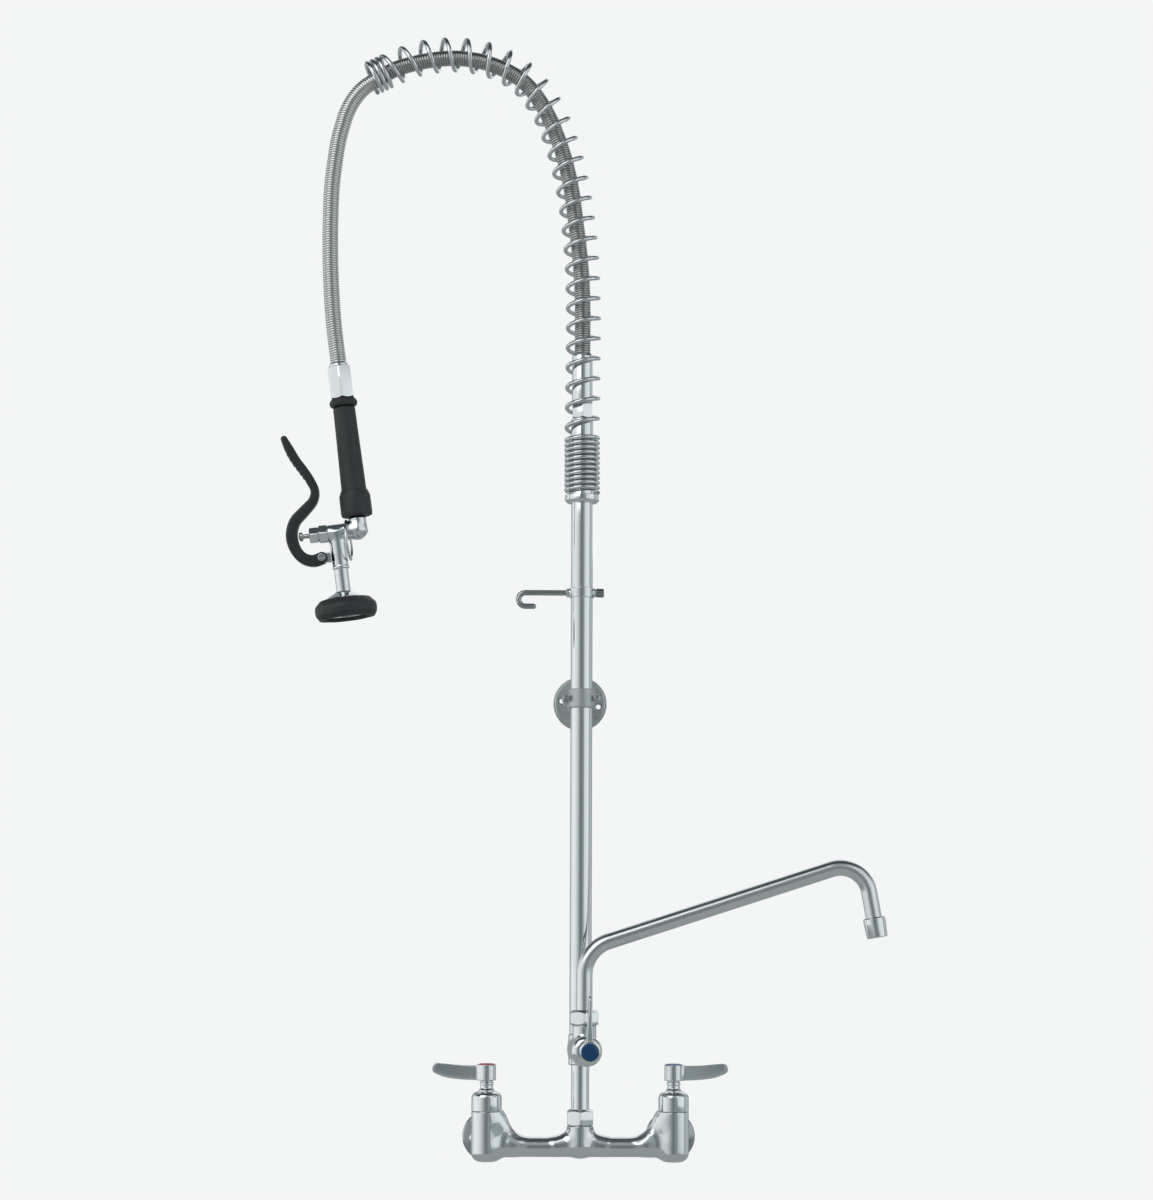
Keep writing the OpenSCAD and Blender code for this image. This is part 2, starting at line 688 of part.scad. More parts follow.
module add_on_bonnet() { color(chrome) on_add_on_valve() bonnet(); }
module add_on_cartridge() { on_add_on_valve() cartridge(); }
module add_on_stem() { on_add_on_valve() stem(); }
module add_on_handle() { on_add_on_valve() lever_handle(); }
module add_on_handle_screw() { on_add_on_valve() handle_screw(); }
module add_on_index() { color(add_on_blue) on_add_on_valve() index_button(); }

// Places a part at the foot of the nozzle's leg; the arm runs along +X
module at_nozzle() at_add_on() translate([0, -nozzle_out, 0]) rotate([0, 0, -add_on_turn]) children();

module nozzle_nut() {
  bottom = boss_z + seat_gap;
  color(chrome) at_nozzle() difference() {
    translate([0, 0, bottom]) rotate([0, 0, 30]) hex(30, nozzle_nut_h, 1.8);
    translate([0, 0, bottom - 1]) cylinder(r = nozzle_thread_r + run_gap, h = nozzle_nut_h - nozzle_lip_t + 1);
    translate([0, 0, bottom]) cylinder(r = nozzle_fit_r, h = nozzle_nut_h + 1);
  }
}

// Straight runs and bends of the nozzle, for the tube and for its bore. The straight
// runs are a hair wider than the bends and reach a little way over them.
module nozzle_run(r) {
  over = 0.8;
  wide = r + nozzle_run_over;
  foot_cut = nozzle_foot_bend * tan((90 - nozzle_rise) / 2);
  end_turn = 90 + nozzle_rise - nozzle_lean;
  end_cut = nozzle_end_bend * tan(end_turn / 2);
  arm = nozzle_arm_len();
  translate([0, 0, nozzle_foot_z]) cylinder(r = wide, h = nozzle_corner_z - foot_cut - nozzle_foot_z + over);
  translate([nozzle_foot_bend, 0, nozzle_corner_z - foot_cut]) rotate([90, 0, 0]) rotate([0, 0, 90 + nozzle_rise])
    rotate_extrude(angle = 90 - nozzle_rise) translate([nozzle_foot_bend, 0]) circle(r = r);
  translate([0, 0, nozzle_corner_z]) rotate([0, 90 - nozzle_rise, 0]) {
    translate([0, 0, foot_cut - over]) cylinder(r = wide, h = arm - foot_cut - end_cut + 2 * over);
    translate([nozzle_end_bend, 0, arm - end_cut]) rotate([90, 0, 0]) rotate([0, 0, 180 - end_turn])
      rotate_extrude(angle = end_turn) translate([nozzle_end_bend, 0]) circle(r = r);
  }
  at_nozzle_end() translate([0, 0, end_cut - over]) cylinder(r = wide, h = nozzle_end_drop - end_cut + over);
}

// Length of the nozzle's arm between its two corners
function nozzle_arm_len() = (nozzle_reach - nozzle_end_drop * sin(nozzle_lean)) / cos(nozzle_rise);

// Frame at the arm's outer corner, with Z down the outlet leg
module at_nozzle_end() translate([nozzle_arm_len() * cos(nozzle_rise), 0, nozzle_corner_z + nozzle_arm_len() * sin(nozzle_rise)])
  rotate([0, 180 - nozzle_lean, 0]) children();

module swing_nozzle() {
  color(chrome) at_nozzle() difference() {
    union() {
      nozzle_run(nozzle_r);
      translate([0, 0, nozzle_boss_top + seat_gap]) cylinder(r = nozzle_collar_r, h = nozzle_collar_top() - nozzle_boss_top - seat_gap);
    }
    nozzle_run(nozzle_bore_r);
    translate([0, 0, nozzle_foot_z - 1]) cylinder(r = nozzle_bore_r, h = 2);
    for (z = nozzle_ring_z()) translate([0, 0, z]) rotate_extrude()
      translate([nozzle_r + 0.35, 0]) circle(r = o_ring_r + run_gap);
    at_nozzle_end() translate([0, 0, nozzle_end_drop - 1]) cylinder(r = nozzle_bore_r, h = 2);
  }
}

function nozzle_collar_top() = boss_z + nozzle_nut_h - nozzle_lip_t - run_gap;

module nozzle_o_rings() {
  color(black_rubber) at_nozzle() for (z = nozzle_ring_z()) translate([0, 0, z])
    rotate_extrude() translate([nozzle_r + 0.35, 0]) circle(r = o_ring_r);
}

module nozzle_outlet() {
  top = nozzle_end_drop - outlet_engage;
  color(chrome) at_nozzle() at_nozzle_end() difference() {
    translate([0, 0, top]) rotate_extrude() polygon([
      [0, 0], [outlet_r - 1.2, 0], [outlet_r, 1.2], [outlet_r, outlet_band_h], [outlet_r - 0.8, outlet_h - 0.8],
      [outlet_r - 1.6, outlet_h], [0, outlet_h]]);
    translate([0, 0, top - 1]) cylinder(r = nozzle_fit_r, h = outlet_engage + 1 + seat_gap);
    translate([0, 0, top + 1]) cylinder(r = outlet_r - 4, h = outlet_h - 4);
    for (ring = [[0, 1], [3.2, 6], [6.4, 12]]) for (k = [0 : ring[1] - 1])
      rotate([0, 0, 360 * k / ring[1]]) translate([ring[0], 0, top + outlet_h - 4])
        cylinder(r = 0.9, h = 6, $fn = 16);
  }
}

// ---------- riser, hook and wall bracket ----------

module riser() {
  color(chrome) at_riser() difference() {
    union() {
      translate([0, 0, riser_foot_z]) cylinder(r = riser_r, h = riser_len);
      translate([0, 0, riser_foot_z - riser_spigot_len]) cylinder(r = riser_spigot_r, h = riser_spigot_len + 1);
    }
    translate([0, 0, riser_foot_z - riser_spigot_len - 1]) cylinder(r = riser_bore_r, h = riser_len + riser_spigot_len + 2);
    translate([0, 0, riser_top_z - 14]) tube(riser_r + 1, riser_spigot_r, 15);
  }
}

module hook_clamp() {
  boss_r = 4.8;
  color(steel) at_riser(hook_z) difference() {
    union() {
      translate([0, 0, -hook_band_h / 2]) cylinder(r = riser_r + run_gap + hook_band_t, h = hook_band_h);
      rotate([0, -90, 0]) cylinder(r = boss_r, h = riser_r + 5);
      rotate([0, 90, 0]) cylinder(r = boss_r, h = riser_r + 3.5);
    }
    translate([0, 0, -hook_band_h]) cylinder(r = riser_r + run_gap, h = 2 * hook_band_h);
    rotate([0, -90, 0]) cylinder(r = hook_rod_d / 2 + run_gap, h = riser_r + 10);
    rotate([0, 90, 0]) cylinder(r = 2.5 + run_gap, h = riser_r + 10);
  }
}

module finger_hook() {
  bend_x = -(hook_reach - hook_bend_r - hook_rod_d / 2);
  rod_foot = riser_r + 0.6;
  color(steel) at_riser(hook_z) {
    rotate([0, -90, 0]) translate([0, 0, rod_foot]) cylinder(d = hook_rod_d, h = -bend_x - rod_foot);
    translate([bend_x, 0, -hook_bend_r]) rotate([90, 0, 0]) rotate([0, 0, 90])
      rotate_extrude(angle = 180) translate([hook_bend_r, 0]) circle(d = hook_rod_d);
    translate([bend_x, 0, -2 * hook_bend_r]) rotate([0, 90, 0]) rotate_extrude() polygon(concat(
      [[0, 0], [hook_rod_d / 2, 0], [hook_rod_d / 2, hook_tail]],
      [for (a = [15 : 15 : 90]) [hook_rod_d / 2 * cos(a), hook_tail + hook_rod_d / 2 * sin(a)]]));
  }
}

module hook_screw() {
  head_x = riser_r + 3.6;
  color(steel) at_riser(hook_z) rotate([0, 90, 0]) difference() {
    union() {
      translate([0, 0, riser_r + 0.2]) cylinder(r = 2.5, h = head_x - riser_r);
      translate([0, 0, head_x]) cylinder(r = 5, h = 9);
    }
    translate([0, 0, head_x + 6]) cylinder(r = 2.2, h = 5, $fn = 6);
  }
}

// Half of the clamp round the riser, on the -Y side
module clamp_half() {
  room = 2 * (clamp_ear_x + clamp_ear_r + 1);
  difference() {
    union() {
      cylinder(r = riser_r + run_gap + clamp_wall, h = clamp_h, center = true);
      for (side = [-1, 1]) translate([side * clamp_ear_x, 0, 0]) rotate([90, 0, 0]) cylinder(r = clamp_ear_r, h = clamp_ear_len);
      translate([-clamp_ear_x, -clamp_ear_len, -clamp_ear_r]) cube([2 * clamp_ear_x, clamp_ear_len, 2 * clamp_ear_r]);
    }
    cylinder(r = riser_r + run_gap, h = clamp_h + 2, center = true);
    translate([-room / 2, -clamp_split, -room / 2]) cube(room);
    for (side = [-1, 1]) translate([side * clamp_ear_x, 1, 0]) rotate([90, 0, 0]) cylinder(r = clamp_screw_r + 0.2, h = 12);
  }
}

module bracket_clamp_front() { color(bracket_grey) at_riser(bracket_z) clamp_half(); }

module bracket_clamp_rear() {
  socket_end = riser_r + clamp_wall + 14;
  color(bracket_grey) at_riser(bracket_z) difference() {
    union() {
      rotate([0, 0, 180]) clamp_half();
      translate([0, riser_r + 2, 0]) rotate([-90, 0, 0]) cylinder(r = bracket_socket_r, h = socket_end - riser_r - 2);
    }
    cylinder(r = riser_r + run_gap, h = clamp_h + 12, center = true);
    translate([0, riser_r + clamp_wall + 2, 0]) rotate([-90, 0, 0]) cylinder(r = bracket_nipple_r + run_gap, h = 20);
    for (side = [-1, 1]) translate([side * clamp_ear_x, -1, 0]) rotate([-90, 0, 0]) cylinder(r = clamp_screw_r + 0.2, h = 12);
  }
}

// One screw has its head in front, the other behind, each with its nut at the far ear
module clamp_screws() {
  color(steel) at_riser(bracket_z) for (side = [-1, 1])
    translate([side * clamp_ear_x, 0, 0]) rotate([90 * side, 0, 0]) difference() {
      union() {
        translate([0, 0, -12]) cylinder(r = clamp_screw_r, h = 12 + clamp_ear_len + 1);
        translate([0, 0, clamp_ear_len + seat_gap]) cylinder(r = clamp_nut_w / 2, h = 4);
      }
      translate([0, 0, clamp_ear_len + 1.6]) cylinder(r = 1.6, h = 4, $fn = 6);
    }
}

module clamp_nuts() {
  color(steel) at_riser(bracket_z) for (side = [-1, 1])
    translate([side * clamp_ear_x, side * (clamp_ear_len + seat_gap), 0]) rotate([-90 * side, 0, 0]) difference() {
      translate([-clamp_nut_w / 2, -clamp_nut_w / 2, 0]) cube([clamp_nut_w, clamp_nut_w, 3.2]);
      translate([0, 0, -1]) cylinder(r = clamp_screw_r + run_gap, h = 6);
    }
}

module bracket_nipple() {
  wall_end = 4;
  riser_end = wall_projection - riser_r - clamp_wall - 2 - seat_gap;
  color(chrome) translate([0, -wall_end, bracket_z]) rotate([90, 0, 0])
    tube(bracket_nipple_r, bracket_nipple_r - 2.6, riser_end - wall_end);
}

module bracket_flange() {
  hub_len = 15;
  color(bracket_grey) translate([0, 0, bracket_z]) rotate([90, 0, 0]) difference() {
    union() {
      rotate_extrude() polygon([[0, 0], [bracket_flange_d / 2, 0], [bracket_flange_d / 2, 2.4],
                                [bracket_flange_d / 2 - 1, bracket_flange_t - 1], [14, bracket_flange_t], [0, bracket_flange_t]]);
      cylinder(r = 12.5, h = hub_len);
    }
    translate([0, 0, 4 - seat_gap]) cylinder(r = bracket_nipple_r + run_gap, h = hub_len);
    for (k = [0 : 3]) rotate([0, 0, 90 * k - 9]) translate([bracket_pcd / 2, 0, -1]) {
      cylinder(r = bracket_hole_r, h = 10);
      translate([0, 0, 1 + bracket_flange_t - 2.6]) cylinder(r1 = bracket_hole_r, r2 = bracket_hole_r + 2.6, h = 2.6);
    }
  }
}

// ---------- spring and hose ----------

module at_spring_foot() at_riser(spring_foot_z) children();

module spring_holder() {
  // tube inside the foot turns, with the seat that carries them
  foot = spring_seat_z - spring_seat_h;
  color(chrome) at_spring_foot() translate([0, 0, foot]) difference() {
    union() {
      cylinder(r = holder_r, h = holder_top - foot);
      rotate_extrude() polygon([
        [0, 0], [spring_seat_r - 3, 0], [spring_seat_r, 3], [spring_seat_r, spring_seat_h - 0.6],
        [spring_seat_r - 0.6, spring_seat_h], [0, spring_seat_h]]);
    }
    translate([0, 0, -1]) cylinder(r = riser_r + run_gap, h = holder_top - foot + 2);
  }
}

// Distance along the spring's route at each turn of the wire
spring_line = spline(spring_route, curve_steps);
spring_long = lengths(spring_line);
spring_len = spring_long[len(spring_long) - 1];
spring_turns = foot_turns + open_turns + end_turns;
end_slack = wire_r;
open_pitch = (spring_len - spring_start - end_slack - foot_turns * closed_pitch - end_turns * end_pitch)
  / open_turns;
function spring_s(turn) = spring_start + (turn < foot_turns ? turn * closed_pitch
  : turn < foot_turns + open_turns ? foot_turns * closed_pitch + (turn - foot_turns) * open_pitch
  : foot_turns * closed_pitch + open_turns * open_pitch + (turn - foot_turns - open_turns) * end_pitch);

// Middle of the wire at a turn, and the direction outwards from the spring's axis
function spring_out(turn) = let (
    t = heading_at(spring_line, spring_long, spring_s(turn)), a = 360 * turn)
  [cos(a) * t[1], sin(a), -cos(a) * t[0]];
function spring_wire_at(turn) = let (c = point_at(spring_line, spring_long, spring_s(turn)))
  [c[0], 0, c[1]] + spring_r * spring_out(turn);

spring_steps = floor(spring_turns * steps_per_turn);
spring_mid = [for (i = [0 : spring_steps]) spring_wire_at(i / steps_per_turn)];
spring_gap = min([for (i = [0 : spring_steps], j = [i + 5 : min(i + 11, spring_steps)])
  norm(spring_mid[i] - spring_mid[j])]) - spring_wire;
echo(spring_gap_to_itself = spring_gap, spring_turns = spring_turns, spring_len = spring_len);

module overhead_spring() {
  n = len(spring_mid);
  first_dir = unit(spring_mid[0] - spring_mid[1]);
  last_dir = unit(spring_mid[n - 1] - spring_mid[n - 2]);
  mid = concat([spring_mid[0] + first_dir * spring_wire], spring_mid, [spring_mid[n - 1] + last_dir * spring_wire]);
  m = len(mid);
  points = [for (i = [0 : m - 1]) let (
      along = unit(mid[min(i + 1, m - 1)] - mid[max(i - 1, 0)]),
      out0 = spring_out(min(max(i - 1, 0), n - 1) / steps_per_turn),
      out = unit(out0 - (out0 * along) * along), across = cross(along, out))
    for (k = [0 : wire_sides - 1]) mid[i] + wire_r * (cos(60 * k) * out + sin(60 * k) * across)];
  color(steel) at_spring_foot()
    polyhedron(points, concat(
      [for (f = wall_faces(m, wire_sides)) [f[0], f[2], f[1]]],
      [for (f = cap_faces(m, wire_sides)) [f[0], f[2], f[1]]]));
}

module hose_coupling() {
  color(chrome) at_riser(riser_top_z) difference() {
    union() {
      translate([0, 0, -14]) cylinder(r = riser_r + 0.4, h = 14 + coupling_h);
      translate([0, 0, coupling_h]) hex(22, coupling_hex_h, 1);
    }
    translate([0, 0, -15]) cylinder(r = riser_spigot_r + run_gap, h = 15 + seal_t + seat_gap);
    cylinder(r = 6, h = 60);
  }
}

module lower_ferrule() {
  h = lower_ferrule_top_z - lower_ferrule_bottom_z - seat_gap;
  color(chrome) at_riser(lower_ferrule_bottom_z) difference() {
    rotate_extrude() polygon([[0, 0], [lower_ferrule_r - 1, 0], [lower_ferrule_r, 1.5], [lower_ferrule_r, h - 3],
                              [lower_ferrule_r - 1.2, h], [0, h]]);
    translate([0, 0, -1]) cylinder(r = hose_bore_r, h = h + 2);
  }
}

function even_steps(total, count) = [for (i = [0 : count - 1]) total * i / (count - 1)];

module hose_arch() {
  // it stops just short of the free hose, with which it is one hose
  total = max(lengths(spline(arch_route, curve_steps))) - 3 * seat_gap;
  rings = even_steps(total, arch_rings);
  color(steel) at_spring_foot()
    swept_tube(arch_route, rings, [for (s = rings) hose_r], arch_sides, hose_bore_r, rings);
}

module hose_drop() {
  total = max(lengths(spline(drop_route, curve_steps)));
  // each rib is a crest and a groove; the first and last crests close the ends
  pitch = total / (hose_ribs + 0.5);
  rings = [for (i = [0 : hose_ribs]) each (i < hose_ribs ? [i * pitch, (i + 0.5) * pitch] : [i * pitch, total])];
  radii = [for (i = [0 : len(rings) - 1]) i % 2 == 0 || i == len(rings) - 1 ? hose_r : hose_r - rib_depth];
  color(steel) at_spring_foot()
    swept_tube(drop_route, rings, radii, hose_sides, hose_bore_r, even_steps(total, bore_rings));
}

// ---------- spray unit ----------

// Frame of the spray unit, hung so that its ferrule meets the hose's end
module at_spray() at_spring_foot() translate([hose_end[0], 0, hose_end[1]])
  rotate([0, -spray_tilt, 0]) translate([0, 0, -ferrule_len]) children();

module end_ferrule() {
  rim = ferrule_len - seat_gap - ferrule_hex_h + 1;
  color(chrome) at_spray() difference() {
    union() {
      translate([0, 0, seat_gap]) hex(ferrule_af, ferrule_hex_h - seat_gap, 1.2);
      translate([0, 0, ferrule_hex_h - 1]) rotate_extrude() polygon([[0, 0], [hose_r + 1.6, 0], [hose_r + 1.6, rim - 1.6],
        [hose_r + 0.4, rim], [0, rim]]);
      translate([0, 0, -ferrule_spigot_len]) cylinder(r = ferrule_spigot_r, h = ferrule_spigot_len + 1);
    }
    translate([0, 0, -ferrule_spigot_len - 1]) cylinder(r = hose_bore_r - 1, h = ferrule_len + ferrule_spigot_len + 2);
  }
}

module handle_tube() {
  foot = valve_drop - 7;
  color(chrome) at_spray() difference() {
    union() {
      translate([0, 0, -collar_h]) cylinder(r = socket_r, h = collar_h);
      translate([0, 0, -foot]) cylinder(r = tube_r, h = foot - 1);
    }
    translate([0, 0, -ferrule_spigot_len - seat_gap]) cylinder(r = ferrule_spigot_r + run_gap, h = ferrule_spigot_len + 1);
    translate([0, 0, -foot - 1]) cylinder(r = tube_r - 2, h = foot + 2);
  }
}

module handle_grip() {
  seam = collar_h + grip_len;
  end = leg_top - free_gap;
  color(black_rubber) at_spray() difference() {
    rotate_extrude() polygon([
      [0, 0], [collar_r - 2.5, 0], [collar_r - 0.6, -1.4], [collar_r, -3.4], [collar_r, -collar_h + 3],
      [collar_r - 1.6, -collar_h], [grip_r - grip_taper, -collar_h],
      [grip_r + grip_taper, -seam], [grip_r + grip_taper + 0.6, -seam - 4],
      [flare_r, -seam - 9], [flare_r, -end + 5], [flare_r - 1.5, -end + 1.5], [flare_r - 4, -end], [0, -end]]);
    translate([0, 0, -end - 1]) cylinder(r = tube_r + run_gap, h = end);
    translate([0, 0, -collar_h - seat_gap]) cylinder(r = socket_r + run_gap, h = collar_h + 1);
  }
}

module valve_body() {
  color(chrome) at_spray() difference() {
    union() {
      translate([0, 0, -valve_drop]) cylinder(r = leg_r, h = valve_drop - leg_top);
      translate([0, 0, -valve_drop]) sphere(r = leg_r);
      translate([0, 0, -valve_drop]) rotate([0, -90, 0]) cylinder(r = valve_barrel_r, h = -barrel_end_x);
      translate([-head_offset, 0, -valve_drop - 39]) cylinder(r = head_r, h = 39);
      translate([-head_offset, 0, -valve_drop - 41]) cylinder(r = head_r + 0.4, h = 3);
      translate([-head_offset, 0, -valve_drop - head_drop + 4]) cylinder(r = down_tube_r, h = head_drop - 30);
      translate([pivot[0], 0, pivot[1]]) rotate([90, 0, 0]) cylinder(r = 5.5, h = lug_t, center = true);
      translate([pivot[0], -lug_t / 2, pivot[1] - 5.5]) cube([-pivot[0] - head_offset, lug_t, 11]);
    }
    translate([0, 0, -valve_drop]) cylinder(r = tube_r - 2, h = valve_drop);
    translate([0, 0, -valve_drop + 7 - seat_gap]) cylinder(r = tube_r + run_gap, h = valve_drop);
    translate([-4, 0, -valve_drop]) rotate([0, -90, 0]) cylinder(r = chamber_r, h = 60);
    translate([-head_offset, 0, -valve_drop - head_drop - 10]) cylinder(r = tube_r - 2, h = head_drop + 10);
    translate([pivot[0], 0, pivot[1]]) rotate([90, 0, 0]) cylinder(r = pivot_r + run_gap, h = 20, center = true);
  }
}

// Frame on the valve's cross axis with Z away from the grip
module on_cross_axis(x) at_spray() translate([x, 0, -valve_drop]) rotate([0, -90, 0]) children();

module valve_cap() {
  color(chrome) on_cross_axis(barrel_end_x) difference() {
    union() {
      translate([0, 0, -2]) cylinder(r = chamber_r - run_gap, h = 3);
      hex(cap_hex_af, cap_hex_h, 1);
      translate([0, 0, cap_hex_h - 0.5]) hex(packing_hex_af, packing_hex_h + 0.5, 1.4);
    }
    translate([0, 0, -3]) cylinder(r = rod_r + run_gap, h = 40);
    translate([0, 0, -3]) cylinder(r = spring_room_r, h = cap_hex_h + 2);
  }
}

module seat_washer() {
  color(black_rubber) on_cross_axis(seat_x) tube(chamber_r - run_gap, rod_r + 1.4, seat_t);
}

module return_spring() {
  color(steel) on_cross_axis(seat_x - seat_t - seat_gap)
    tube(4.6, rod_r + 0.5, -rod_collar_x + seat_x - seat_t - 1.7 - 2 * seat_gap);
}

module plunger() {
  color(steel) on_cross_axis(0) {
    translate([0, 0, -seat_x - free_gap - disc_t]) cylinder(r = chamber_r - 0.8, h = disc_t);
    translate([0, 0, -seat_x - free_gap - disc_t]) cylinder(r = rod_r, h = -button_tip_x - 3 + seat_x + free_gap + disc_t);
    translate([0, 0, -rod_collar_x - 1.6]) cylinder(r = 4.8, h = 1.6);
    translate([0, 0, -button_tip_x]) intersection() {
      translate([0, 0, -button_r * 1.6]) sphere(r = button_r * 1.6);
      translate([0, 0, -button_len]) cylinder(r = button_r, h = button_len + 1);
    }
  }
}

function lever_points() = [for (p = lever_line) [p[0] + pivot[0], p[1] + pivot[1]]];

module squeeze_lever() {
  line = spline([for (p = lever_line) [p[0], p[1]]], 5);
  wide = spline([for (p = lever_line) [p[2]]], 5);
  n = len(line);
  function along(i) = unit(line[min(i + 1, n - 1)] - line[max(i - 1, 0)]);
  function side_point(i, side) = line[i] + side * wide[i][0] / 2 * [-along(i)[1], along(i)[0]];
  // Half circle round an end of the middle line
  function round_end(i, from, to) = let (t = along(i))
    [for (a = [from : (to - from) / 10 : to]) line[i] + wide[i][0] / 2 * [t[0] * cos(a) - t[1] * sin(a), t[1] * cos(a) + t[0] * sin(a)]];
  color(black_rubber) at_spray() translate([pivot[0], 0, pivot[1]]) rotate([90, 0, 0]) difference() {
    translate([0, 0, -lever_w / 2]) linear_extrude(height = lever_w) polygon(concat(
      [for (i = [1 : n - 2]) side_point(i, 1)], round_end(n - 1, 90, -90),
      [for (i = [n - 2 : -1 : 1]) side_point(i, -1)], round_end(0, -90, -270)));
    cylinder(r = pivot_r + run_gap, h = lever_w + 2, center = true);
    translate([-8, -15, -lug_t / 2 - free_gap]) cube([30, 24, lug_t + 2 * free_gap]);
  }
}

module lever_pivot() {
  color(steel) at_spray() translate([pivot[0], 0, pivot[1]]) rotate([90, 0, 0]) {
    translate([0, 0, -lever_w / 2 - free_gap]) cylinder(r = pivot_r, h = lever_w + 2 * free_gap);
    difference() {
      translate([0, 0, lever_w / 2 + free_gap]) cylinder(r = 4.4, h = 2.4);
      translate([-5, -0.5, lever_w / 2 + free_gap + 1.4]) cube([10, 1, 3]);
    }
    translate([0, 0, -lever_w / 2 - free_gap - 2.2]) cylinder(r = 4, h = 2.2);
  }
}

module hold_down_ring() {
  ring_drop = valve_drop - valve_barrel_r - free_gap + ring_r - ring_wire / 2;
  color(chrome) at_spray() translate([ring_x, 0, -ring_drop]) rotate([0, 0, ring_turn]) rotate([0, 90, 0])
    rotate_extrude() translate([ring_r, 0]) circle(d = ring_wire, $fn = 24);
}

module at_head() at_spray() translate([-head_offset, 0, -valve_drop]) children();

module spray_dome() {
  r = dome_r;
  rim = head_drop + bumper_h - 4;
  color(chrome) at_head() rotate_extrude() polygon([
    [down_tube_r + run_gap, -dome_top], [down_tube_r + 2, -dome_top], [down_tube_r + 6, -dome_top - 2.5],
    [r - 1.5, -head_drop + 2], [r, -head_drop], [r, -rim], [r - 1.5, -rim], [r - 1.5, -head_drop - 1],
    [down_tube_r + 5, -dome_top - 4.5], [down_tube_r + run_gap, -dome_top - 3]]);
}

module spray_face() {
  r = dome_r - 1.5 - run_gap;
  rim = head_drop + bumper_h - 5;
  color(steel) at_head() translate([0, 0, -rim]) difference() {
    cylinder(r = r, h = face_t);
    translate([0, 0, 1.5]) cylinder(r = r - 2, h = face_t);
    for (ring = [1, 2]) for (k = [0 : face_holes * ring - 1])
      rotate([0, 0, 360 * k / (face_holes * ring)]) translate([ring * r / 2.7, 0, -1]) cylinder(r = 0.8, h = 4, $fn = 16);
    translate([0, 0, -1]) cylinder(r = 0.8, h = 4, $fn = 16);
  }
}

module bumper() {
  inner = dome_r + run_gap;
  outer = bumper_d / 2;
  edge = 6.5;
  color(black_rubber) at_head() rotate_extrude() polygon(concat(
    [[inner, -head_drop]],
    [for (a = [90 : -15 : 0]) [outer - edge + edge * cos(a), -head_drop - edge + edge * sin(a)]],
    [for (a = [0 : -15 : -90]) [outer - edge + edge * cos(a), -head_drop - bumper_h + edge + edge * sin(a)]],
    [[inner + 1, -head_drop - bumper_h], [inner, -head_drop - bumper_h + 1]]));
}

mixer_body();
hot_inlet_flange();
cold_inlet_flange();
inlet_coupling_nuts();
seal_washers();
valve_bonnets();
hot_cartridge();
cold_cartridge();
hot_stem();
hot_handle();
hot_handle_screw();
hot_index();
cold_stem();
cold_handle();
cold_handle_screw();
cold_index();
outlet_nut();
lower_nipple();
add_on_body();
add_on_bonnet();
add_on_cartridge();
add_on_stem();
add_on_handle();
add_on_handle_screw();
add_on_index();
nozzle_nut();
swing_nozzle();
nozzle_o_rings();
nozzle_outlet();
riser();
hook_clamp();
finger_hook();
hook_screw();
bracket_clamp_front();
bracket_clamp_rear();
clamp_screws();
clamp_nuts();
bracket_nipple();
bracket_flange();
spring_holder();
overhead_spring();
hose_coupling();
lower_ferrule();
hose_arch();
hose_drop();
end_ferrule();
handle_tube();
handle_grip();
valve_body();
valve_cap();
seat_washer();
return_spring();
plunger();
squeeze_lever();
lever_pivot();
hold_down_ring();
spray_dome();
spray_face();
bumper();
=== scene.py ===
"""Visual model of a wall-mounted pre rinse faucet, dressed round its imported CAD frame.

Sizes are in millimetres in the builders and in metres in the finished meshes. The origin
lies on the wall midway between the two inlets, +Z is up and -Y points to the user.
"""

from __future__ import annotations

import logging
import math
from dataclasses import dataclass, field
from enum import Enum
from typing import Callable, Sequence

import bpy
import numpy as np
from mathutils import Matrix, Vector

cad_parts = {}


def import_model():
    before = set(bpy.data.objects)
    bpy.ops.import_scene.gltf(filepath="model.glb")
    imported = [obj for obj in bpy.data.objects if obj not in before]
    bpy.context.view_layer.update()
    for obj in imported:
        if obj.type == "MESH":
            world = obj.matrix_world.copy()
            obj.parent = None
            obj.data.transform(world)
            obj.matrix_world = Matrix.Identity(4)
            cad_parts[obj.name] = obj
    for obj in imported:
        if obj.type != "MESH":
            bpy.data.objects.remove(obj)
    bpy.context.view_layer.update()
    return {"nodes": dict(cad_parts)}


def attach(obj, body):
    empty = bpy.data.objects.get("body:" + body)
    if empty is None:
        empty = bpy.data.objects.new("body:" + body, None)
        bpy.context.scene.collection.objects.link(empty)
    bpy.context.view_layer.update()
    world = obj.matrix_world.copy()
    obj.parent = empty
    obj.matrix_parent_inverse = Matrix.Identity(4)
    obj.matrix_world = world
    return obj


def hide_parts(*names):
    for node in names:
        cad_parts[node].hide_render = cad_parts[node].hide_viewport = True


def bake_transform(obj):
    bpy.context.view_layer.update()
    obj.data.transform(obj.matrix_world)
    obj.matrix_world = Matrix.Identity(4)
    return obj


LOG = logging.getLogger("pre_rinse_faucet")
MM = 0.001
# Room in millimetres between a bore and what stands in it
CLEARANCE = 0.05
# Edge radius of a solid that only cuts another
SHARP = 0.1
# Angle in degrees above which an edge stays sharp
CREASE = 32.0
# Straight pieces round a large turned solid, a multiple of six for the nuts
ROUND = 96

Point = tuple[float, float, float]
# Radius, height and fillet radius of one corner of an outline
Corner = tuple[float, float, float]
Field = Callable[[np.ndarray], np.ndarray]
Mesh = bpy.types.Mesh
Tree = bpy.types.NodeTree
Socket = bpy.types.NodeSocket
# Places along a curve's plane, and tones with the values at which they stand
Route = tuple[tuple[float, float], ...]
Tones = tuple[tuple[float, str], ...]


# ---- places


def shift(x: float = 0.0, y: float = 0.0, z: float = 0.0) -> Matrix:
    """Returns a translation in millimetres."""
    return Matrix.Translation((x, y, z))


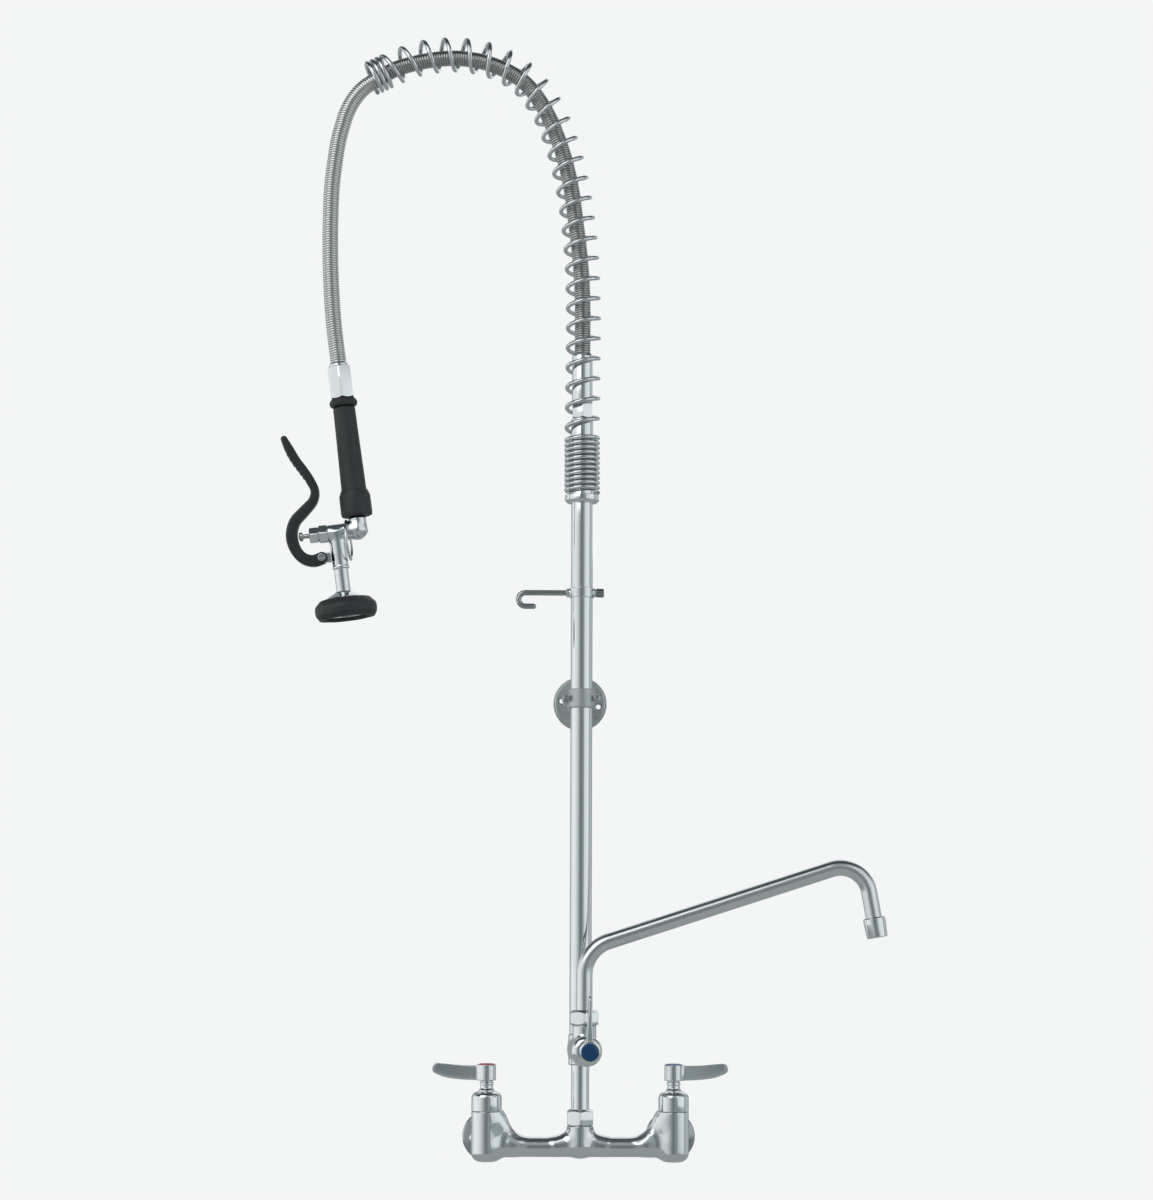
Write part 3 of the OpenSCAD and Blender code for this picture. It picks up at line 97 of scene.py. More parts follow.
def turn(axis: str, degrees: float) -> Matrix:
    """Returns a rotation about a coordinate axis."""
    return Matrix.Rotation(math.radians(degrees), 4, axis)


@dataclass(frozen=True)
class Layout:
    """The places that the sub-assemblies share, as the CAD model has them."""

    inlet_centres: float = 203.2
    wall_projection: float = 76.0
    column_rise: float = 31.0
    add_on_turn: float = 4.5
    add_on_face: float = 55.0
    add_on_axis: float = 98.3
    nozzle_out: float = 42.0
    riser_foot: float = 114.5
    riser_top: float = 774.5
    hook_height: float = 598.0
    bracket_height: float = 480.5
    spring_drop: float = 69.5
    hose_end: tuple[float, float] = (-272.2, 149.5)
    spray_tilt: float = 7.5
    ferrule_length: float = 41.0
    valve_drop: float = 148.0
    head_offset: float = 24.5

    def riser(self, z: float = 0.0) -> Matrix:
        """Frame on the riser's axis at a height."""
        return shift(0, -self.wall_projection, z)

    def column(self, side: int) -> Matrix:
        """Frame on the top face of a valve column, with its handle along +X."""
        place = self.riser(self.column_rise) @ shift(side * self.inlet_centres / 2)
        return place @ turn("Z", 180 if side < 0 else 0)

    def inlet(self, side: int) -> Matrix:
        """Frame on the wall at an inlet, with Z away from the wall."""
        return shift(side * self.inlet_centres / 2) @ turn("X", 90)

    def add_on(self) -> Matrix:
        """Frame of the add-on faucet, turned about the riser."""
        return self.riser() @ turn("Z", self.add_on_turn)

    def add_on_valve(self) -> Matrix:
        """Frame on the face of the add-on faucet's valve, with its handle up."""
        place = self.add_on() @ shift(0, -self.add_on_face, self.add_on_axis)
        return place @ turn("X", 90) @ turn("Z", 90)

    def nozzle(self) -> Matrix:
        """Frame on the axis of the nozzle's upright leg, with its arm along +X."""
        return self.add_on() @ shift(0, -self.nozzle_out) @ turn("Z", -self.add_on_turn)

    def spring_foot(self) -> Matrix:
        """Frame at the spring's foot."""
        return self.riser(self.riser_top - self.spring_drop)

    def spray(self) -> Matrix:
        """Frame of the spray unit, at the top of its grip, with Z up the grip."""
        place = self.spring_foot() @ shift(self.hose_end[0], 0, self.hose_end[1])
        return place @ turn("Y", -self.spray_tilt) @ shift(0, 0, -self.ferrule_length)

    def head(self) -> Matrix:
        """Frame of the spray head, where its axis meets the valve's cross axis."""
        return self.spray() @ shift(-self.head_offset, 0, -self.valve_drop)

    def cross_axis(self, x: float) -> Matrix:
        """Frame on the valve's cross axis with Z away from the grip."""
        return self.spray() @ shift(x, 0, -self.valve_drop) @ turn("Y", -90)


LAYOUT = Layout()
# Turns a nut on its own axis so that one of its corners faces the front
CORNER_FRONT = turn("Z", 30)


# ---- solids


@dataclass
class Solid:
    """A closed mesh in millimetres.

    Attributes:
        points: One row for each vertex.
        faces: Vertex numbers of each face, anticlockwise from outside.
        normals: The surface's own normals at the vertices, where they are known.
    """

    points: np.ndarray
    faces: list[list[int]]
    normals: np.ndarray | None = None

    def moved(self, place: Matrix) -> Solid:
        """Returns the solid in another frame.

        Args:
            place: The frame, as a rigid matrix.

        Returns:
            A new solid.
        """
        m = np.array(place)
        normals = None if self.normals is None else self.normals @ m[:3, :3].T
        return Solid(self.points @ m[:3, :3].T + m[:3, 3], self.faces, normals)


def filleted(corners: Sequence[Corner], closed: bool, steps: int) -> np.ndarray:
    """Rounds the corners of an outline.

    Args:
        corners: Radius, height and fillet radius of each corner.
        closed: Whether the last corner joins the first.
        steps: Straight pieces in each fillet.

    Returns:
        The outline's points, as many for every call with the same corners rounded.
    """
    spots = np.array([c[:2] for c in corners], float)
    count = len(spots)
    out: list[np.ndarray] = []
    for i, corner in enumerate(corners):
        here = spots[i]
        if corner[2] <= 0 or (not closed and i in (0, count - 1)):
            out.append(here)
            continue
        back, ahead = spots[i - 1] - here, spots[(i + 1) % count] - here
        back_length, ahead_length = np.linalg.norm(back), np.linalg.norm(ahead)
        back, ahead = back / back_length, ahead / ahead_length
        half = math.acos(float(np.clip(back @ ahead, -0.9999, 0.9999))) / 2
        cut = min(corner[2] / math.tan(half), 0.48 * back_length, 0.48 * ahead_length)
        middle = here + (back + ahead) / np.linalg.norm(back + ahead) * cut / math.cos(half)
        start, end = here + back * cut - middle, here + ahead * cut - middle
        sweep = math.pi - 2 * half
        for k in range(steps + 1):
            t = k / steps
            arc = math.sin((1 - t) * sweep) * start + math.sin(t * sweep) * end
            out.append(middle + arc / math.sin(sweep))
    return np.array(out)


def turned_by_angle(corners_at: Callable[[float], Sequence[Corner]], sides: int, steps: int = 4) -> Solid:
    """Makes a solid round the Z axis whose outline may change with the angle.

    Args:
        corners_at: Gives the outline's corners at an angle in radians.
        sides: Straight pieces round the axis.
        steps: Straight pieces in each fillet.

    Returns:
        A closed solid. An outline that starts and ends on the axis has poles there.
    """
    angles = np.arange(sides) * 2 * math.pi / sides
    first = corners_at(0.0)
    on_axis = first[0][0] == 0 and first[-1][0] == 0
    outlines = np.array([filleted(corners_at(float(a)), not on_axis, steps) for a in angles])
    r, z = outlines[0, :, 0], outlines[0, :, 1]
    if np.sum(r * np.roll(z, -1) - np.roll(r, -1) * z) < 0:
        outlines = outlines[:, ::-1]
    poles = [outlines[0, 0, 1], outlines[0, -1, 1]]
    if on_axis:
        outlines = outlines[:, 1:-1]
    count = outlines.shape[1]
    r, z = outlines[:, :, 0], outlines[:, :, 1]
    points = np.stack([r * np.cos(angles)[:, None], r * np.sin(angles)[:, None], z], axis=2).reshape(-1, 3)
    j, i = np.meshgrid(np.arange(sides), np.arange(count - 1 if on_axis else count), indexing="ij")
    ahead, above = (j + 1) % sides, (i + 1) % count
    quads = np.stack([j * count + i, ahead * count + i, ahead * count + above, j * count + above], axis=2)
    faces = quads.reshape(-1, 4).tolist()
    if on_axis:
        base = len(points)
        points = np.vstack([points, [[0, 0, poles[0]], [0, 0, poles[1]]]])
        for a in range(sides):
            b = (a + 1) % sides
            faces.append([base, b * count, a * count])
            faces.append([base + 1, a * count + count - 1, b * count + count - 1])
    return Solid(points, faces)


def turned(corners: Sequence[Corner], sides: int = 72, steps: int = 4) -> Solid:
    """Makes a turned solid from the corners of its outline.

    Args:
        corners: Radius, height and fillet radius of each corner.
        sides: Straight pieces round the axis.
        steps: Straight pieces in each fillet.

    Returns:
        A closed solid on the Z axis.
    """
    return turned_by_angle(lambda _angle: corners, sides, steps)


def hex_nut(
    flats: float, height: float, bore: tuple[float, float], face: float = 0.94, slope: float = 0.62
) -> Solid:
    """Makes a hexagonal nut with chamfered faces, standing on z = 0.

    Args:
        flats: Width across flats.
        height: Height of the nut.
        bore: Radius of the hole at the foot and at the top.
        face: Radius of the flat end faces, as a part of half the width across flats.
        slope: Rise of the chamfer for each millimetre outwards.

    Returns:
        A closed solid with two corners on the X axis.
    """
    apothem = flats / 2
    foot, top = (max(apothem * face, radius + 0.5) for radius in bore)
    widest = apothem / math.cos(math.pi / 6) * 0.985

    def corners_at(angle: float) -> list[Corner]:
        """Gives the nut's outline at an angle."""
        radius = min(apothem / math.cos(angle % (math.pi / 3) - math.pi / 6), widest)
        return [
            (bore[0], 0, 0.2),
            (foot, 0, 0.25),
            (radius, (radius - foot) * slope, 0.35),
            (radius, height - (radius - top) * slope, 0.35),
            (top, height, 0.25), (bore[1], height, 0.2), (bore[1], height * 0.62, 0),
            (bore[0], height * 0.55, 0),
        ]  # fmt: skip

    return turned_by_angle(corners_at, ROUND, 3)


def spline(points: Sequence[Sequence[float]], steps: int) -> np.ndarray:
    """Runs a Catmull-Rom curve through points.

    Args:
        points: The points, of any number of coordinates.
        steps: Samples for each span.

    Returns:
        The samples, with both end points.
    """
    p = np.array(points, float)
    n = len(p)
    out = []
    for i in range(n - 1):
        a, b, c, d = p[max(i - 1, 0)], p[i], p[i + 1], p[min(i + 2, n - 1)]
        for k in range(steps):
            t = k / steps
            rise, bend = (c - a) * t, (2 * a - 5 * b + 4 * c - d) * t * t
            out.append(0.5 * (2 * b + rise + bend + (3 * b - a - 3 * c + d) * t**3))
    out.append(p[-1])
    return np.array(out)


def travelled(path: np.ndarray) -> np.ndarray:
    """Returns the distance along a path at each of its points."""
    return np.concatenate([[0.0], np.cumsum(np.linalg.norm(np.diff(path, axis=0), axis=1))])


def swept(path: np.ndarray, radius: float, ends: tuple[float, float], sides: int, spacing: float) -> Solid:
    """Makes a round bar along a path that lies in a plane square to Y.

    Args:
        path: Points of the middle line.
        radius: Radius of the bar.
        ends: Edge radius of the first and of the last end, up to the bar's own.
        sides: Straight pieces round the bar.
        spacing: Distance between rings.

    Returns:
        A closed solid with a pole at each end.
    """
    length = travelled(path)
    total = float(length[-1])
    quarter = np.linspace(0, math.pi / 2, 6)
    head, tail = (
        [(edge * (1 - math.cos(a)), radius - edge * (1 - math.sin(a))) for a in quarter] for edge in ends
    )
    tail = [(total - s, r) for s, r in tail[::-1]]
    count = max(int((tail[0][0] - head[-1][0]) / spacing), 2)
    middle = [(float(s), radius) for s in np.linspace(head[-1][0], tail[0][0], count + 1)[1:-1]]
    stations = np.array(head + middle + tail)
    centres = np.stack([np.interp(stations[:, 0], length, path[:, k]) for k in range(3)], axis=1)
    fine = np.gradient(path, axis=0)
    along = np.stack([np.interp(stations[:, 0], length, fine[:, k]) for k in range(3)], axis=1)
    along /= np.linalg.norm(along, axis=1)[:, None]
    side = np.array([0.0, 1.0, 0.0])
    out = np.cross(side, along)
    angles = np.arange(sides) * 2 * math.pi / sides
    rings = centres[:, None] + stations[:, 1][:, None, None] * (
        np.cos(angles)[None, :, None] * out[:, None] + np.sin(angles)[None, :, None] * side
    )
    rows = len(stations)
    points = np.vstack([rings.reshape(-1, 3), centres[0], centres[-1]])
    i, k = np.meshgrid(np.arange(rows - 1), np.arange(sides), indexing="ij")
    ahead = (k + 1) % sides
    quads = np.stack([i * sides + k, i * sides + ahead, (i + 1) * sides + ahead, (i + 1) * sides + k], axis=2)
    faces = quads.reshape(-1, 4).tolist()
    first, last = rows * sides, rows * sides + 1
    for a in range(sides):
        b = (a + 1) % sides
        faces.append([first, b, a])
        faces.append([last, (rows - 1) * sides + a, (rows - 1) * sides + b])
    return Solid(points, faces)


# ---- castings


def rounded(x: np.ndarray, y: np.ndarray, edge: float) -> np.ndarray:
    """Takes the greater of two distances, with a round edge where they are equal."""
    x, y = x + edge, y + edge
    return np.minimum(np.maximum(x, y), 0) + np.hypot(np.maximum(x, 0), np.maximum(y, 0)) - edge


def softened(first: np.ndarray, second: np.ndarray, width: float) -> np.ndarray:
    """Returns how far two distances are drawn off their crossing over a width."""
    near = np.maximum(width - np.abs(first - second), 0) / width
    return near * near * width / 4


def rod(start: Point, end: Point, radius: float, edge: float = 0.6) -> Field:
    """Distance to a flat-ended round bar with rounded edges.

    Args:
        start: Middle of one end.
        end: Middle of the other end.
        radius: Radius of the bar.
        edge: Radius of its edges.

    Returns:
        A signed distance field.
    """
    a, b = np.array(start, float), np.array(end, float)
    length = float(np.linalg.norm(b - a))
    axis = (b - a) / length

    def distance(p: np.ndarray) -> np.ndarray:
        """Signed distance of points."""
        rel = p - a
        along = rel @ axis
        across = np.sqrt(np.maximum(np.einsum("ij,ij->i", rel, rel) - along**2, 0))
        return rounded(across - radius, np.abs(along - length / 2) - length / 2, edge)

    return distance


def post(low: float, high: float, radius: float, edge: float = 0.6) -> Field:
    """Distance to a round bar on the Z axis."""
    return rod((0, 0, low), (0, 0, high), radius, edge)


def ball(middle: Point, radius: float) -> Field:
    """Distance to a sphere."""
    return lambda p: np.linalg.norm(p - np.array(middle, float), axis=1) - radius


def block(middle: Point, size: Point, edge: float = 0.6) -> Field:
    """Distance to a box with rounded edges.

    Args:
        middle: Middle of the box.
        size: Its full lengths.
        edge: Radius of its edges.

    Returns:
        A signed distance field.
    """

    def distance(p: np.ndarray) -> np.ndarray:
        """Signed distance of points."""
        q = np.abs(p - np.array(middle, float)) - np.array(size, float) / 2 + edge
        return np.linalg.norm(np.maximum(q, 0), axis=1) + np.minimum(q.max(axis=1), 0) - edge

    return distance


def chain(points: np.ndarray, radii: np.ndarray) -> Field:
    """Distance to an outline in the XZ plane, drawn with a round brush of changing size.

    Args:
        points: The brush's path as rows of x and z.
        radii: The brush's radius at each point.

    Returns:
        A signed distance field that is the same for every y.
    """

    def distance(p: np.ndarray) -> np.ndarray:
        """Signed distance of points."""
        flat = p[:, [0, 2]]
        best = np.full(len(p), 1e9)
        for i in range(len(points) - 1):
            span = points[i + 1] - points[i]
            t = np.clip((flat - points[i]) @ span / (span @ span), 0, 1)
            gap = np.linalg.norm(flat - points[i] - t[:, None] * span, axis=1)
            np.minimum(best, gap - radii[i] - t * (radii[i + 1] - radii[i]), out=best)
        return best

    return distance


def joined(fillet: float, *parts: Field) -> Field:
    """Joins fields with a smooth fillet where they meet.

    Args:
        fillet: Width over which they flow together.
        *parts: The fields.

    Returns:
        The joined field.
    """

    def distance(p: np.ndarray) -> np.ndarray:
        """Signed distance of points."""
        total = parts[0](p)
        for part in parts[1:]:
            other = part(p)
            total = np.minimum(total, other) - softened(total, other, fillet)
        return total

    return distance


def cut(body: Field, edge: float, *tools: Field) -> Field:
    """Cuts tools out of a body and breaks the edges that they leave.

    Args:
        body: The field that is cut.
        edge: Width of the broken edge.
        *tools: What is cut away.

    Returns:
        The cut field.
    """

    def distance(p: np.ndarray) -> np.ndarray:
        """Signed distance of points."""
        total = body(p)
        for tool in tools:
            other = -tool(p)
            total = np.maximum(total, other) + softened(total, other, edge)
        return total

    return distance


EDGES = [
    (a, b)
    for a in np.ndindex(2, 2, 2)
    for b in np.ndindex(2, 2, 2)
    if sum(b) - sum(a) == 1 and sum(abs(x - y) for x, y in zip(a, b)) == 1
]
# Cells along the side of a block, and blocks that are sampled in one go
BLOCK, BATCH = 8, 300


def sampled(shape: Field, low: np.ndarray, counts: np.ndarray, cell: float) -> np.ndarray:
    """Samples a field on a grid, in full only near its surface.

    Args:
        shape: The field.
        low: Lowest corner of the grid.
        counts: Blocks of cells along each axis.
        cell: Length of a cell.

    Returns:
        The samples, right in sign everywhere and in size near the surface.
    """
    blocks = np.array(list(np.ndindex(*counts)))
    middle = shape(low + (blocks + 0.5) * BLOCK * cell)
    coarse = np.ones(tuple(counts + 1))
    coarse[tuple(blocks.T)] = middle
    grid = np.repeat(np.repeat(np.repeat(coarse, BLOCK, 0), BLOCK, 1), BLOCK, 2)
    grid = grid[tuple(slice(0, c * BLOCK + 1) for c in counts)]
    offsets = np.array(list(np.ndindex(BLOCK + 1, BLOCK + 1, BLOCK + 1)))
    # A block's corner lies this far from its middle, with 5 mm for what a fillet adds
    reach = BLOCK * cell * 0.9 + 5
    near = blocks[np.abs(middle) < reach]
    for start in range(0, len(near), BATCH):
        spots = (near[start : start + BATCH, None] * BLOCK + offsets[None]).reshape(-1, 3)
        grid[tuple(spots.T)] = shape(low + spots * cell)
    return grid


def skin(shape: Field, low: Point, high: Point, cell: float) -> Solid:
    """Puts a closed skin of quads on a field's zero surface.

    Args:
        shape: The field, negative inside.
        low: Lowest corner of the space searched.
        high: Highest corner of the space searched.
        cell: Length of a cell.

    Returns:
        A solid whose points lie on the surface, with the surface's normals.
    """
    start = np.array(low, float) - cell
    counts = np.ceil((np.array(high, float) + cell - start) / (BLOCK * cell)).astype(int)
    grid = sampled(shape, start, counts, cell)
    inside = grid < 0
    size = np.array(grid.shape) - 1
    total = sum(
        inside[a : a + size[0], b : b + size[1], c : c + size[2]].astype(np.int8)
        for a, b, c in np.ndindex(2, 2, 2)
    )
    cells = np.argwhere((total > 0) & (total < 8))
    number = np.full(tuple(size), -1)
    number[tuple(cells.T)] = np.arange(len(cells))
    spot, weight = np.zeros((len(cells), 3)), np.zeros(len(cells))
    for a, b in EDGES:
        here, there = grid[tuple((cells + a).T)], grid[tuple((cells + b).T)]
        crossed = (here < 0) != (there < 0)
        t = np.where(crossed, here / np.where(crossed, here - there, 1), 0)
        spot += crossed[:, None] * (np.array(a) + t[:, None] * (np.array(b) - np.array(a)))
        weight += crossed
    points = start + (cells + spot / weight[:, None]) * cell
    faces = []
    for axis in range(3):
        u, v = (axis + 1) % 3, (axis + 2) % 3
        starts = np.argwhere(np.diff(inside, axis=axis))
        across = starts[:, [u, v]]
        starts = starts[((across > 0) & (across < size[[u, v]])).all(axis=1)]
        step_u, step_v = np.eye(3, dtype=int)[[u, v]]
        around = [starts - step_u - step_v, starts - step_v, starts, starts - step_u]
        quads = np.stack([number[tuple(c.T)] for c in around], axis=1)
        flip = ~inside[tuple(starts.T)]
        quads[flip] = quads[flip][:, ::-1]
        faces.append(quads)
    normals = np.zeros_like(points)
    reach = cell * 0.05
    # Three Newton steps bring the points onto the surface
    for _ in range(3):
        for k, step in enumerate(np.eye(3) * reach):
            normals[:, k] = (shape(points + step) - shape(points - step)) / (2 * reach)
        slope = np.maximum(np.linalg.norm(normals, axis=1), 0.2)[:, None]
        points = points - normals / slope**2 * np.clip(shape(points), -cell, cell)[:, None]
    return Solid(points, np.vstack(faces).tolist(), normals / slope)


# ---- node trees


def add(tree: Tree, kind: str, inputs: dict | None = None, **settings: object) -> bpy.types.Node:
    """Adds a node with its settings and links.

    Args:
        tree: The node tree.
        kind: The node's type name.
        inputs: Values or output sockets by input name or number.
        **settings: Properties of the node.

    Returns:
        The new node.
    """
    node = tree.nodes.new(kind)
    for name, value in settings.items():
        setattr(node, name, value)
    for key, value in (inputs or {}).items():
        if isinstance(value, Socket):
            tree.links.new(value, node.inputs[key])
        else:
            node.inputs[key].default_value = value
    return node


def output(tree: Tree, kind: str, inputs: dict | None = None, **settings: object) -> Socket:
    """Adds a node and returns its first output."""
    return add(tree, kind, inputs, **settings).outputs[0]


def maths(tree: Tree, operation: str, *values: Socket | float) -> Socket:
    """Adds an operation on numbers and returns its result."""
    return output(tree, "ShaderNodeMath", dict(enumerate(values)), operation=operation)


def vectors(tree: Tree, operation: str, *values: Socket | Point, **scale: Socket) -> Socket:
    """Adds an operation on vectors and returns its result."""
    return output(tree, "ShaderNodeVectorMath", dict(enumerate(values)) | scale, operation=operation)


def mixed(tree: Tree, factor: Socket, first: object, second: object) -> Socket:
    """Mixes two colours and returns the result."""
    return add(tree, "ShaderNodeMix", {0: factor, 6: first, 7: second}, data_type="RGBA").outputs[2]


def blank_tree(owner: bpy.types.Material | bpy.types.World) -> Tree:
    """Returns the emptied node tree of a material or a world."""
    owner.use_nodes = True
    owner.node_tree.nodes.clear()
    return owner.node_tree


def linked(name: str, data: bpy.types.ID) -> bpy.types.Object:
    """Makes an object of some data and puts it in the scene."""
    made = bpy.data.objects.new(name, data)
    bpy.context.scene.collection.objects.link(made)
    return made


def metric(place: Matrix) -> Matrix:
    """Returns a frame with its place in metres."""
    place = place.copy()
    place.translation *= MM
    return place


def linear(code: str) -> tuple[float, float, float, float]:
    """Turns an sRGB hex colour to a linear one with full alpha."""
    parts = [int(code[i : i + 2], 16) / 255 for i in (1, 3, 5)]
    red, green, blue = (c / 12.92 if c <= 0.04045 else ((c + 0.055) / 1.055) ** 2.4 for c in parts)
    return red, green, blue, 1.0


@dataclass(frozen=True)
class Finish:
    """A finish with a fine tone and a fine relief, both on real sizes in millimetres.

    Attributes:
        name: Name of the material.
        colour: Its colour.
        tone: The colour of its slight mottling.
        tone_size: Size of the mottling.
        roughness: Lowest and highest roughness.
        haze_size: Size of the spots over which roughness changes.
        metallic: How far it is a metal.
        relief: Height of its relief.
        relief_size: Size of the relief's grain.
        coat: Weight of a clear coat.
        slot: Name of the record's material slot, which is not used here.
    """

    name: str
    colour: str
    tone: str
    slot: str
    tone_size: float = 20.0
    roughness: tuple[float, float] = (0.3, 0.4)
    haze_size: float = 5.0
    metallic: float = 0.0
    relief: float = 0.01
    relief_size: float = 0.6
    coat: float = 0.0

    def material(self) -> bpy.types.Material:
        """Builds the material, or returns the one that was built before."""
        old = bpy.data.materials.get(self.name)
        if old is not None:
            return old
        made = bpy.data.materials.new(self.name)
        tree = blank_tree(made)
        where = add(tree, "ShaderNodeTexCoord").outputs["Object"]
        mottle, haze, grain = (
            output(tree, "ShaderNodeTexNoise", {"Vector": where, "Scale": 1 / (size * MM), "Detail": detail})
            for size, detail in ((self.tone_size, 4.0), (self.haze_size, 3.0), (self.relief_size, 2.0))
        )
        low, high = self.roughness
        inputs = {
            "Base Color": mixed(tree, mottle, linear(self.colour), linear(self.tone)),
            "Roughness": output(tree, "ShaderNodeMapRange", {"Value": haze, 1: 0.3, 2: 0.7, 3: low, 4: high}),
            "Metallic": self.metallic,
            "Coat Weight": self.coat,
            "Normal": output(tree, "ShaderNodeBump", {"Height": grain, "Distance": self.relief * MM}),
        }
        add(tree, "ShaderNodeOutputMaterial", {"Surface": output(tree, "ShaderNodeBsdfPrincipled", inputs)})
        return made


# The numbers of a finish are, in this order: size of the mottling, lowest and highest roughness,
# size of the haze, share of metal, height of the relief, size of the relief and clear coat

# Nickel-chrome plate over a polished brass casting: a mirror with a slight waviness
CAST_CHROME = Finish(
    "polished_chrome_on_cast_brass", "#dfe3e5", "#d5dadd", "chrome", 30, (0.11, 0.17), 7, 1.0, 0.006, 5.0
)
# The same plate over drawn or turned brass: straighter reflections than on a casting
TUBE_CHROME = Finish(
    "polished_chrome_on_drawn_brass", "#e1e5e7", "#d8dddf", "chrome", 45, (0.06, 0.1), 9, 1.0, 0.0015, 3.0
)
# The same plate over the bent nozzle tube, rubbed after bending, so its lines run together
NOZZLE_CHROME = Finish(
    "chrome_on_bent_brass_tube", "#dfe3e4", "#d4d8da", "chrome", 30, (0.16, 0.23), 7, 1.0, 0.002, 3.0
)
# Satin nickel plate over an unpolished casting: soft, grey, with a sandy grain
BRACKET_PLATE = Finish(
    "satin_plate_on_sand_casting", "#bcc2c1", "#a8afae", "bracket_plate",
    9, (0.34, 0.48), 3, 0.85, 0.03, 0.5,
)
# Bright drawn spring wire: a clear shine that streaks along the wire
SPRING_WIRE = Finish(
    "bright_drawn_spring_wire", "#dce0e2", "#cbcfd1", "spring_steel", 12, (0.08, 0.16), 2, 1.0, 0.004, 0.4
)
# Interlocked stainless hose: plain grey, dulled by its fine ribs
HOSE_STEEL = Finish(
    "ribbed_stainless_hose", "#d8dad8", "#c5c7c5", "hose_steel", 6, (0.12, 0.2), 1.5, 1.0, 0.006, 0.5
)
# The same hose inside the spring: darker with painted shade from the coils round it, and a little rougher
HOSE_STEEL_PAINTED_SHADE = Finish(
    "ribbed_stainless_hose_in_spring", "#b9bbb9", "#a4a6a4", "hose_steel",
    6, (0.14, 0.24), 1.5, 1.0, 0.006, 0.5,
)
# Turned stainless and nickel-plated small parts
TURNED_STEEL = Finish(
    "turned_stainless_steel", "#cdd1d3", "#bbbfc1", "steel", 8, (0.16, 0.28), 2, 1.0, 0.004, 0.35
)
# Plate on the wall flanges, darker than the other chrome: painted shade for the shade of the columns that
# they stand in
FLANGE_CHROME_PAINTED_SHADE = Finish(
    "chrome_with_painted_shade_on_flange", "#b2b7b9", "#a5abad", "chrome", 25, (0.12, 0.2), 6, 1.0, 0.004, 3.0
)
# Polished rod of the finger hook, a shade darker than the plate beside it
HOOK_STEEL = Finish(
    "dark_polished_steel", "#b2b6b7", "#a3a7a8", "hook_steel", 10, (0.1, 0.18), 3, 1.0, 0.004, 1.2
)
# Plated band of the hook, which all but vanishes on the riser
HOOK_BAND = Finish(
    "polished_plate_on_band", "#dfe3e5", "#d5dadd", "hook_steel", 30, (0.05, 0.09), 7, 1.0, 0.003, 3.0
)
# Moulded rubber: near black, satin, with the fine pebble of its mould
BLACK_RUBBER = Finish(
    "moulded_black_rubber", "#1f2123", "#282a2c", "black_rubber", 14, (0.46, 0.6), 4, 0.0, 0.012, 0.45
)
# Dipped vinyl: smoother and deeper black than the rubber, with a soft skin
LEVER_VINYL = Finish(
    "dipped_black_vinyl", "#1b1e20", "#222628", "lever_vinyl", 18, (0.28, 0.4), 6, 0.0, 0.01, 2.2
)
# Pressed fibre washers, hidden in their joints
FIBRE = Finish("pressed_fibre", "#6b4a3a", "#5c3e30", "fibre", 2, (0.7, 0.85), 1, 0.0, 0.02, 0.3)
# Moulded acetal index buttons: clear solid colours with a soft gloss
HOT_RED = Finish(
    "moulded_red_acetal", "#b01f2c", "#a51a27", "hot_index", 6, (0.35, 0.48), 2, 0.0, 0.003, 0.8, 0.2
)
COLD_BLUE = Finish(
    "moulded_blue_acetal", "#1d4f96", "#194787", "cold_index", 6, (0.35, 0.48), 2, 0.0, 0.003, 0.8, 0.2
)
ADD_ON_BLUE = Finish(
    "moulded_deep_blue_acetal", "#003c66", "#00365e", "add_on_index", 6, (0.1, 0.16), 2, 0.0, 0.003, 0.8
)


# The line of a tree that starts from none
NO_LINE = np.zeros((2, 3))


class GeometryTool:
    """A Geometry Nodes tree with named sizes, used once on a piece and then baked."""

    def __init__(self, name: str, sizes: dict[str, float | int]) -> None:
        """Starts the tree.

        Args:
            name: Name of the tree.
            sizes: Its named inputs in millimetres or counts, with their values.
        """
        self.tree = bpy.data.node_groups.new(name, "GeometryNodeTree")
        self.sizes = sizes
        self.keys: dict[str, str] = {}
        face = self.tree.interface
        for way in ("OUTPUT", "INPUT"):
            face.new_socket("Geometry", in_out=way, socket_type="NodeSocketGeometry")
        for label, value in sizes.items():
            kind = "NodeSocketInt" if isinstance(value, int) else "NodeSocketFloat"
            self.keys[label] = face.new_socket(label, in_out="INPUT", socket_type=kind).identifier
        self.source = add(self.tree, "NodeGroupInput")

    def size(self, label: str) -> Socket:
        """Returns the socket of a named size."""
        return self.source.outputs[label]

    def bake(
        self, name: str, geometry: Socket, finish: Finish, line: np.ndarray = NO_LINE, crease: float = CREASE
    ) -> Mesh:
        """Ends the tree, runs it on a line of points and returns a plain mesh in metres.

        Args:
            name: Name of the mesh.
            geometry: The socket that holds the tree's result.
            finish: The finish that the result gets.
            line: Points of the line that the tree starts from, in millimetres.
            crease: Angle in degrees above which an edge stays sharp.

        Returns:
            A mesh that has no modifier left.
        """
        smooth = output(self.tree, "GeometryNodeSetShadeSmooth", {"Geometry": geometry})
        whole = output(self.tree, "GeometryNodeRealizeInstances", {"Geometry": smooth})
        inputs = {"Geometry": whole, "Material": finish.material()}
        add(self.tree, "NodeGroupOutput", {0: output(self.tree, "GeometryNodeSetMaterial", inputs)})
        start = bpy.data.meshes.new(name + "_line")
        start.from_pydata(line.tolist(), [(i, i + 1) for i in range(len(line) - 1)], [])
        carrier = linked(name + "_line", start)
        modifier = carrier.modifiers.new(self.tree.name, "NODES")
        modifier.node_group = self.tree
        for label, value in self.sizes.items():
            modifier[self.keys[label]] = value
        graph = bpy.context.evaluated_depsgraph_get()
        made = bpy.data.meshes.new_from_object(carrier.evaluated_get(graph))
        made.name = name
        bpy.data.objects.remove(carrier)
        bpy.data.meshes.remove(start)
        made.transform(Matrix.Scale(MM, 4))
        made.set_sharp_from_angle(angle=math.radians(crease))
        return made


# ---- pieces


